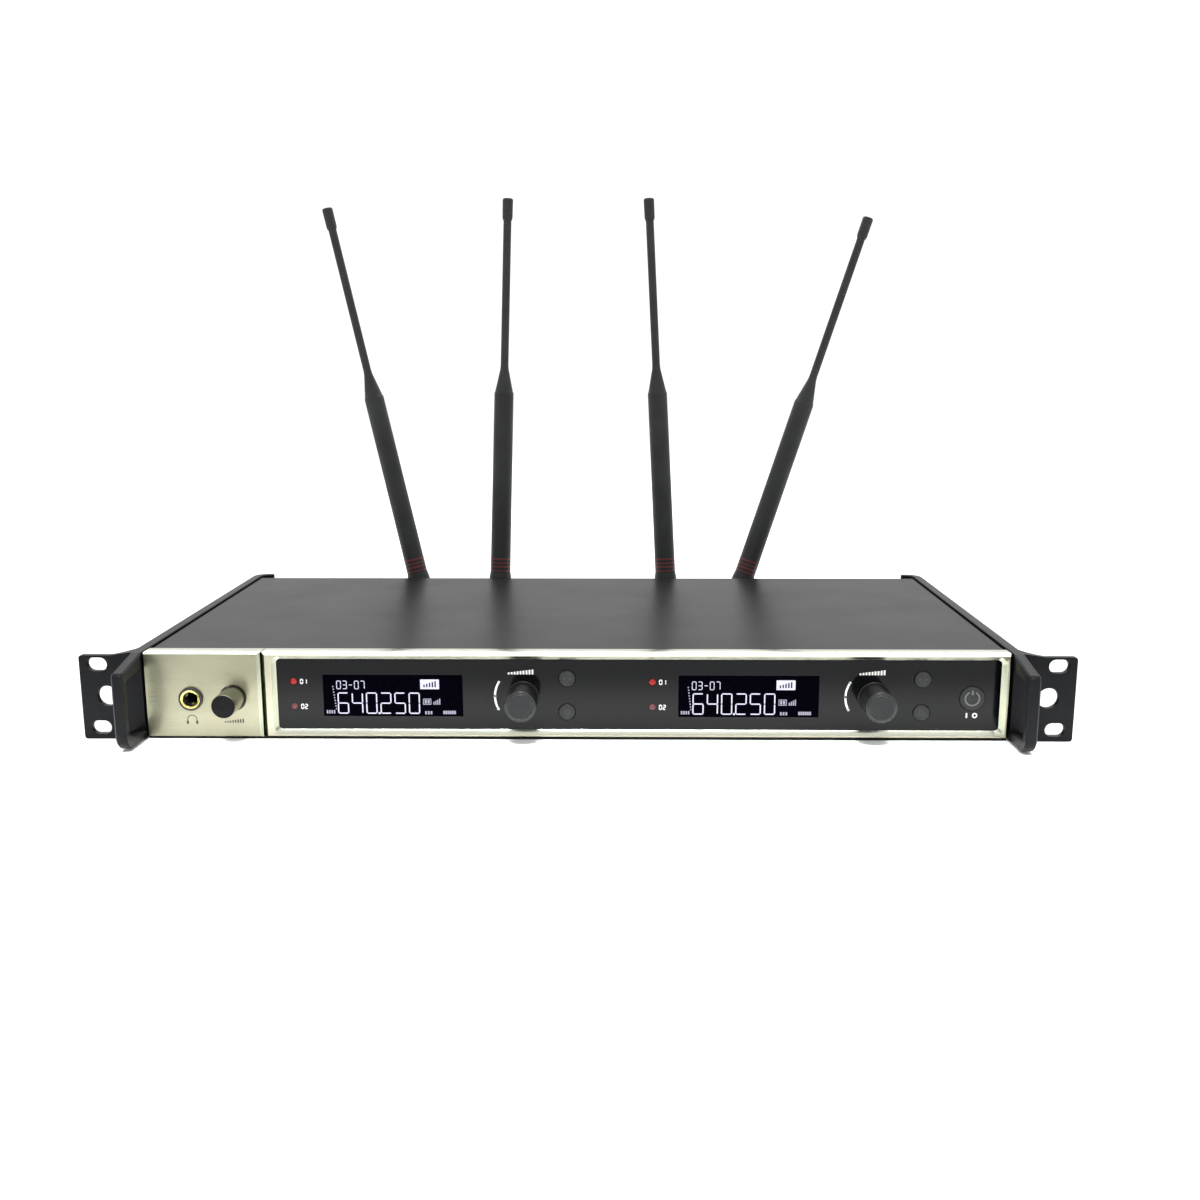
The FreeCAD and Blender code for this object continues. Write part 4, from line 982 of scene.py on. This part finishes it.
def build_rod(number, matrix):
    """Rubber-skinned mast with red bands, thin whip, end cap and the tongue between the fork's
    cheeks. Heights are from the hinge."""
    body = "antenna_rod_" + number
    foot = 7.4 * mm
    skirt_r = 7.2 * mm
    mast_r = 6.5 * mm
    whip_r = 2.5 * mm
    whip_end = 256.0 * mm
    mast = [(0, foot), (skirt_r, foot, 1.4 * mm), (skirt_r, 18.0 * mm, 2.0 * mm),
            (mast_r, 22.4 * mm, 1.0 * mm), (6.15 * mm, 138.0 * mm, 1.0 * mm),
            (5.6 * mm, 139.6 * mm, 1.2 * mm), (2.7 * mm, 153.5 * mm, 6.0 * mm),
            (whip_r, 156.0 * mm, 4.0 * mm), (whip_r, whip_end), (0, whip_end)]
    skin_piece = turned("antenna_mast_" + number + "_skin", rounded(mast, steps=6), [rubber], steps=48)
    place(skin_piece, matrix)
    put(skin_piece, body, ["antenna_mast_" + number])

    tongue_r = 5.6 * mm
    tongue_top = 8.4 * mm         # inside the mast's foot
    half = 2.45 * mm
    outline = arc(0, 0, tongue_r, 180, 360, 20)
    outline += [Vector((tongue_r, tongue_top)), Vector((-tongue_r, tongue_top))]
    bm = bmesh.new()
    add_slab(bm, outline, -half, half, [circle(0, 0, 1.56 * mm, steps=24)])
    tongue = to_object("antenna_tongue_" + number, bm, [black_plastic])
    place(tongue, matrix @ Matrix.Rotation(math.radians(90), 4, "Z"))
    soften(tongue, 0.2 * mm)
    put(tongue, body)

    band_low = 23.0 * mm
    band_pitch = 2.55 * mm
    taper = 0.003
    for k in range(4):
        z = band_low + k * band_pitch
        r = mast_r - taper * (z - band_low)
        height = (0.8 + 0.25 * (k % 2)) * mm
        profile = rounded([
            (r - 0.25 * mm, z), (r + 0.1 * mm, z, 0.08 * mm), (r + 0.1 * mm, z + height, 0.08 * mm),
            (r - 0.25 * mm, z + height)], steps=2)
        ring = turned("antenna_band_" + number + "_" + str(k + 1), profile, [red_band], steps=48)
        place(ring, matrix)
        put(ring, body)

    cap_bore = 2.52 * mm
    cap_start = 244.6 * mm
    cap_floor = 256.3 * mm
    cap_end = 258.0 * mm
    profile = rounded([
        (cap_bore, cap_start), (2.7 * mm, cap_start), (3.2 * mm, 246.2 * mm, 0.6 * mm),
        (3.3 * mm, cap_end, 1.2 * mm), (0, cap_end), (0, cap_floor), (cap_bore, cap_floor)], steps=5)
    cap = turned("antenna_tip_" + number + "_cap", profile, [rubber], steps=40)
    place(cap, matrix)
    put(cap, body, ["antenna_tip_" + number])


def build_coupling(number, matrix):
    """Knurled sleeve round the socket with the two cheeks of the fork. Places along Y are from the
    hinge, which lies behind the sleeve."""
    body = "antenna_coupling_" + number
    node = "antenna_base_" + number
    start = low(node).y - matrix.translation.y
    end = -8.2 * mm
    inner_end = end - 1.8 * mm
    bore_r = 4.56 * mm
    sleeve_r = 6.2 * mm
    grip = 0.18 * mm              # depth of the knurls
    sleeve = []
    for r, y, depth in ((bore_r, start, 0), (5.7 * mm, start, 0), (sleeve_r, start + 0.5 * mm, 0),
                        (sleeve_r, start + 1.2 * mm, grip), (sleeve_r, -11.6 * mm, grip),
                        (sleeve_r, -10.9 * mm, 0), (sleeve_r, end - 0.6 * mm, 0), (5.6 * mm, end, 0),
                        (0, end, 0), (0, inner_end, 0), (bore_r, inner_end, 0)):
        sleeve.append((r, y, 0, depth))
    barrel = turned(node + "_sleeve", sleeve, [black_plastic], steps=144, flutes=36)
    place(barrel, matrix @ facing_rear)
    put(barrel, body, [node])

    cheek_r = 5.8 * mm
    arm_h = 4.64 * mm
    arm_foot = end - 0.3 * mm     # inside the sleeve's end
    outline = arc(0, 0, cheek_r, -90, 90, 20)
    outline += [Vector((arm_foot, arm_h)), Vector((arm_foot, -arm_h))]
    for side in (-1, 1):
        bm = bmesh.new()
        add_slab(bm, outline, 2.6 * mm, 4.9 * mm, [circle(0, 0, 1.52 * mm, steps=24)])
        cheek = to_object(node + ("_fork_right" if side > 0 else "_fork_left"), bm, [black_plastic])
        soften(cheek, 0.3 * mm)
        place(cheek, matrix @ Matrix.Scale(side, 4, (1, 0, 0)) @ Matrix.Rotation(math.radians(-90), 4, "Z")
              @ Matrix.Scale(-1, 4, (1, 0, 0)))
        put(cheek, body)


# ---------------------------------------------------------------- camera, light and floor
def build_camera():
    data = bpy.data.cameras.new("camera")
    data.sensor_width = 36.0
    data.lens = 37.165
    data.clip_start = 0.01
    data.clip_end = 50.0
    camera = bpy.data.objects.new("camera", data)
    camera.location = (0.02031, -0.58292, 0.16530)
    camera.rotation_euler = [math.radians(a) for a in (78.581, 0.073, 0.815)]
    bpy.context.scene.collection.objects.link(camera)
    bpy.context.scene.camera = camera


def area_light(name, place_at, aim, size, power, spread=180.0):
    data = bpy.data.lights.new(name, "AREA")
    data.shape = "RECTANGLE"
    data.size, data.size_y = size
    data.energy = power
    data.spread = math.radians(spread)
    light = bpy.data.objects.new(name, data)
    light.location = place_at
    light.rotation_euler = (Vector(aim) - Vector(place_at)).to_track_quat("-Z", "Y").to_euler()
    light.visible_camera = False
    bpy.context.scene.collection.objects.link(light)


def build_studio():
    """White floor and surround, a large soft light above and behind, and a narrow one over the
    floor in front."""
    floor_z = cad_box[0].z
    bm = bmesh.new()
    bmesh.ops.create_grid(bm, x_segments=8, y_segments=8, size=6.0,
                          matrix=Matrix.Translation((0, 0, floor_z)))
    paper = Finish("studio_paper", (0.95, 0.95, 0.95), 0.85)
    paper.tint(paper.noise(3, 2), 0.01)
    floor = to_object("studio_floor", bm, [paper.material])
    world = bpy.data.worlds.new("studio")
    world.use_nodes = True
    background = world.node_tree.nodes["Background"]
    background.inputs["Color"].default_value = (1.0, 1.0, 1.0, 1)
    background.inputs["Strength"].default_value = 1.12
    bpy.context.scene.world = world
    area_light("soft_top", place_at=(0.0, 0.75, 1.15), aim=(0, 0.05, 0), size=(1.8, 1.4), power=16.0)
    area_light("floor_strip", place_at=(0.0, -0.35, 0.45), aim=(0, -0.045, floor_z), size=(1.3, 0.03),
               power=0.7, spread=14.0)
    bpy.context.scene.view_settings.view_transform = "Standard"


build_camera()
build_studio()
build_display_frame()
build_headphone_plate()
build_window()
for side in ("left", "right"):
    build_display(side)
    build_encoder_knob(side)
build_prints()
build_lamps()
build_volume_knob()
for name in buttons + ["power_button"]:
    build_button(name)
build_headphone_jack()
for number in "1234":
    pivot = antenna_place(number)
    build_rod(number, pivot)
    build_coupling(number, pivot)
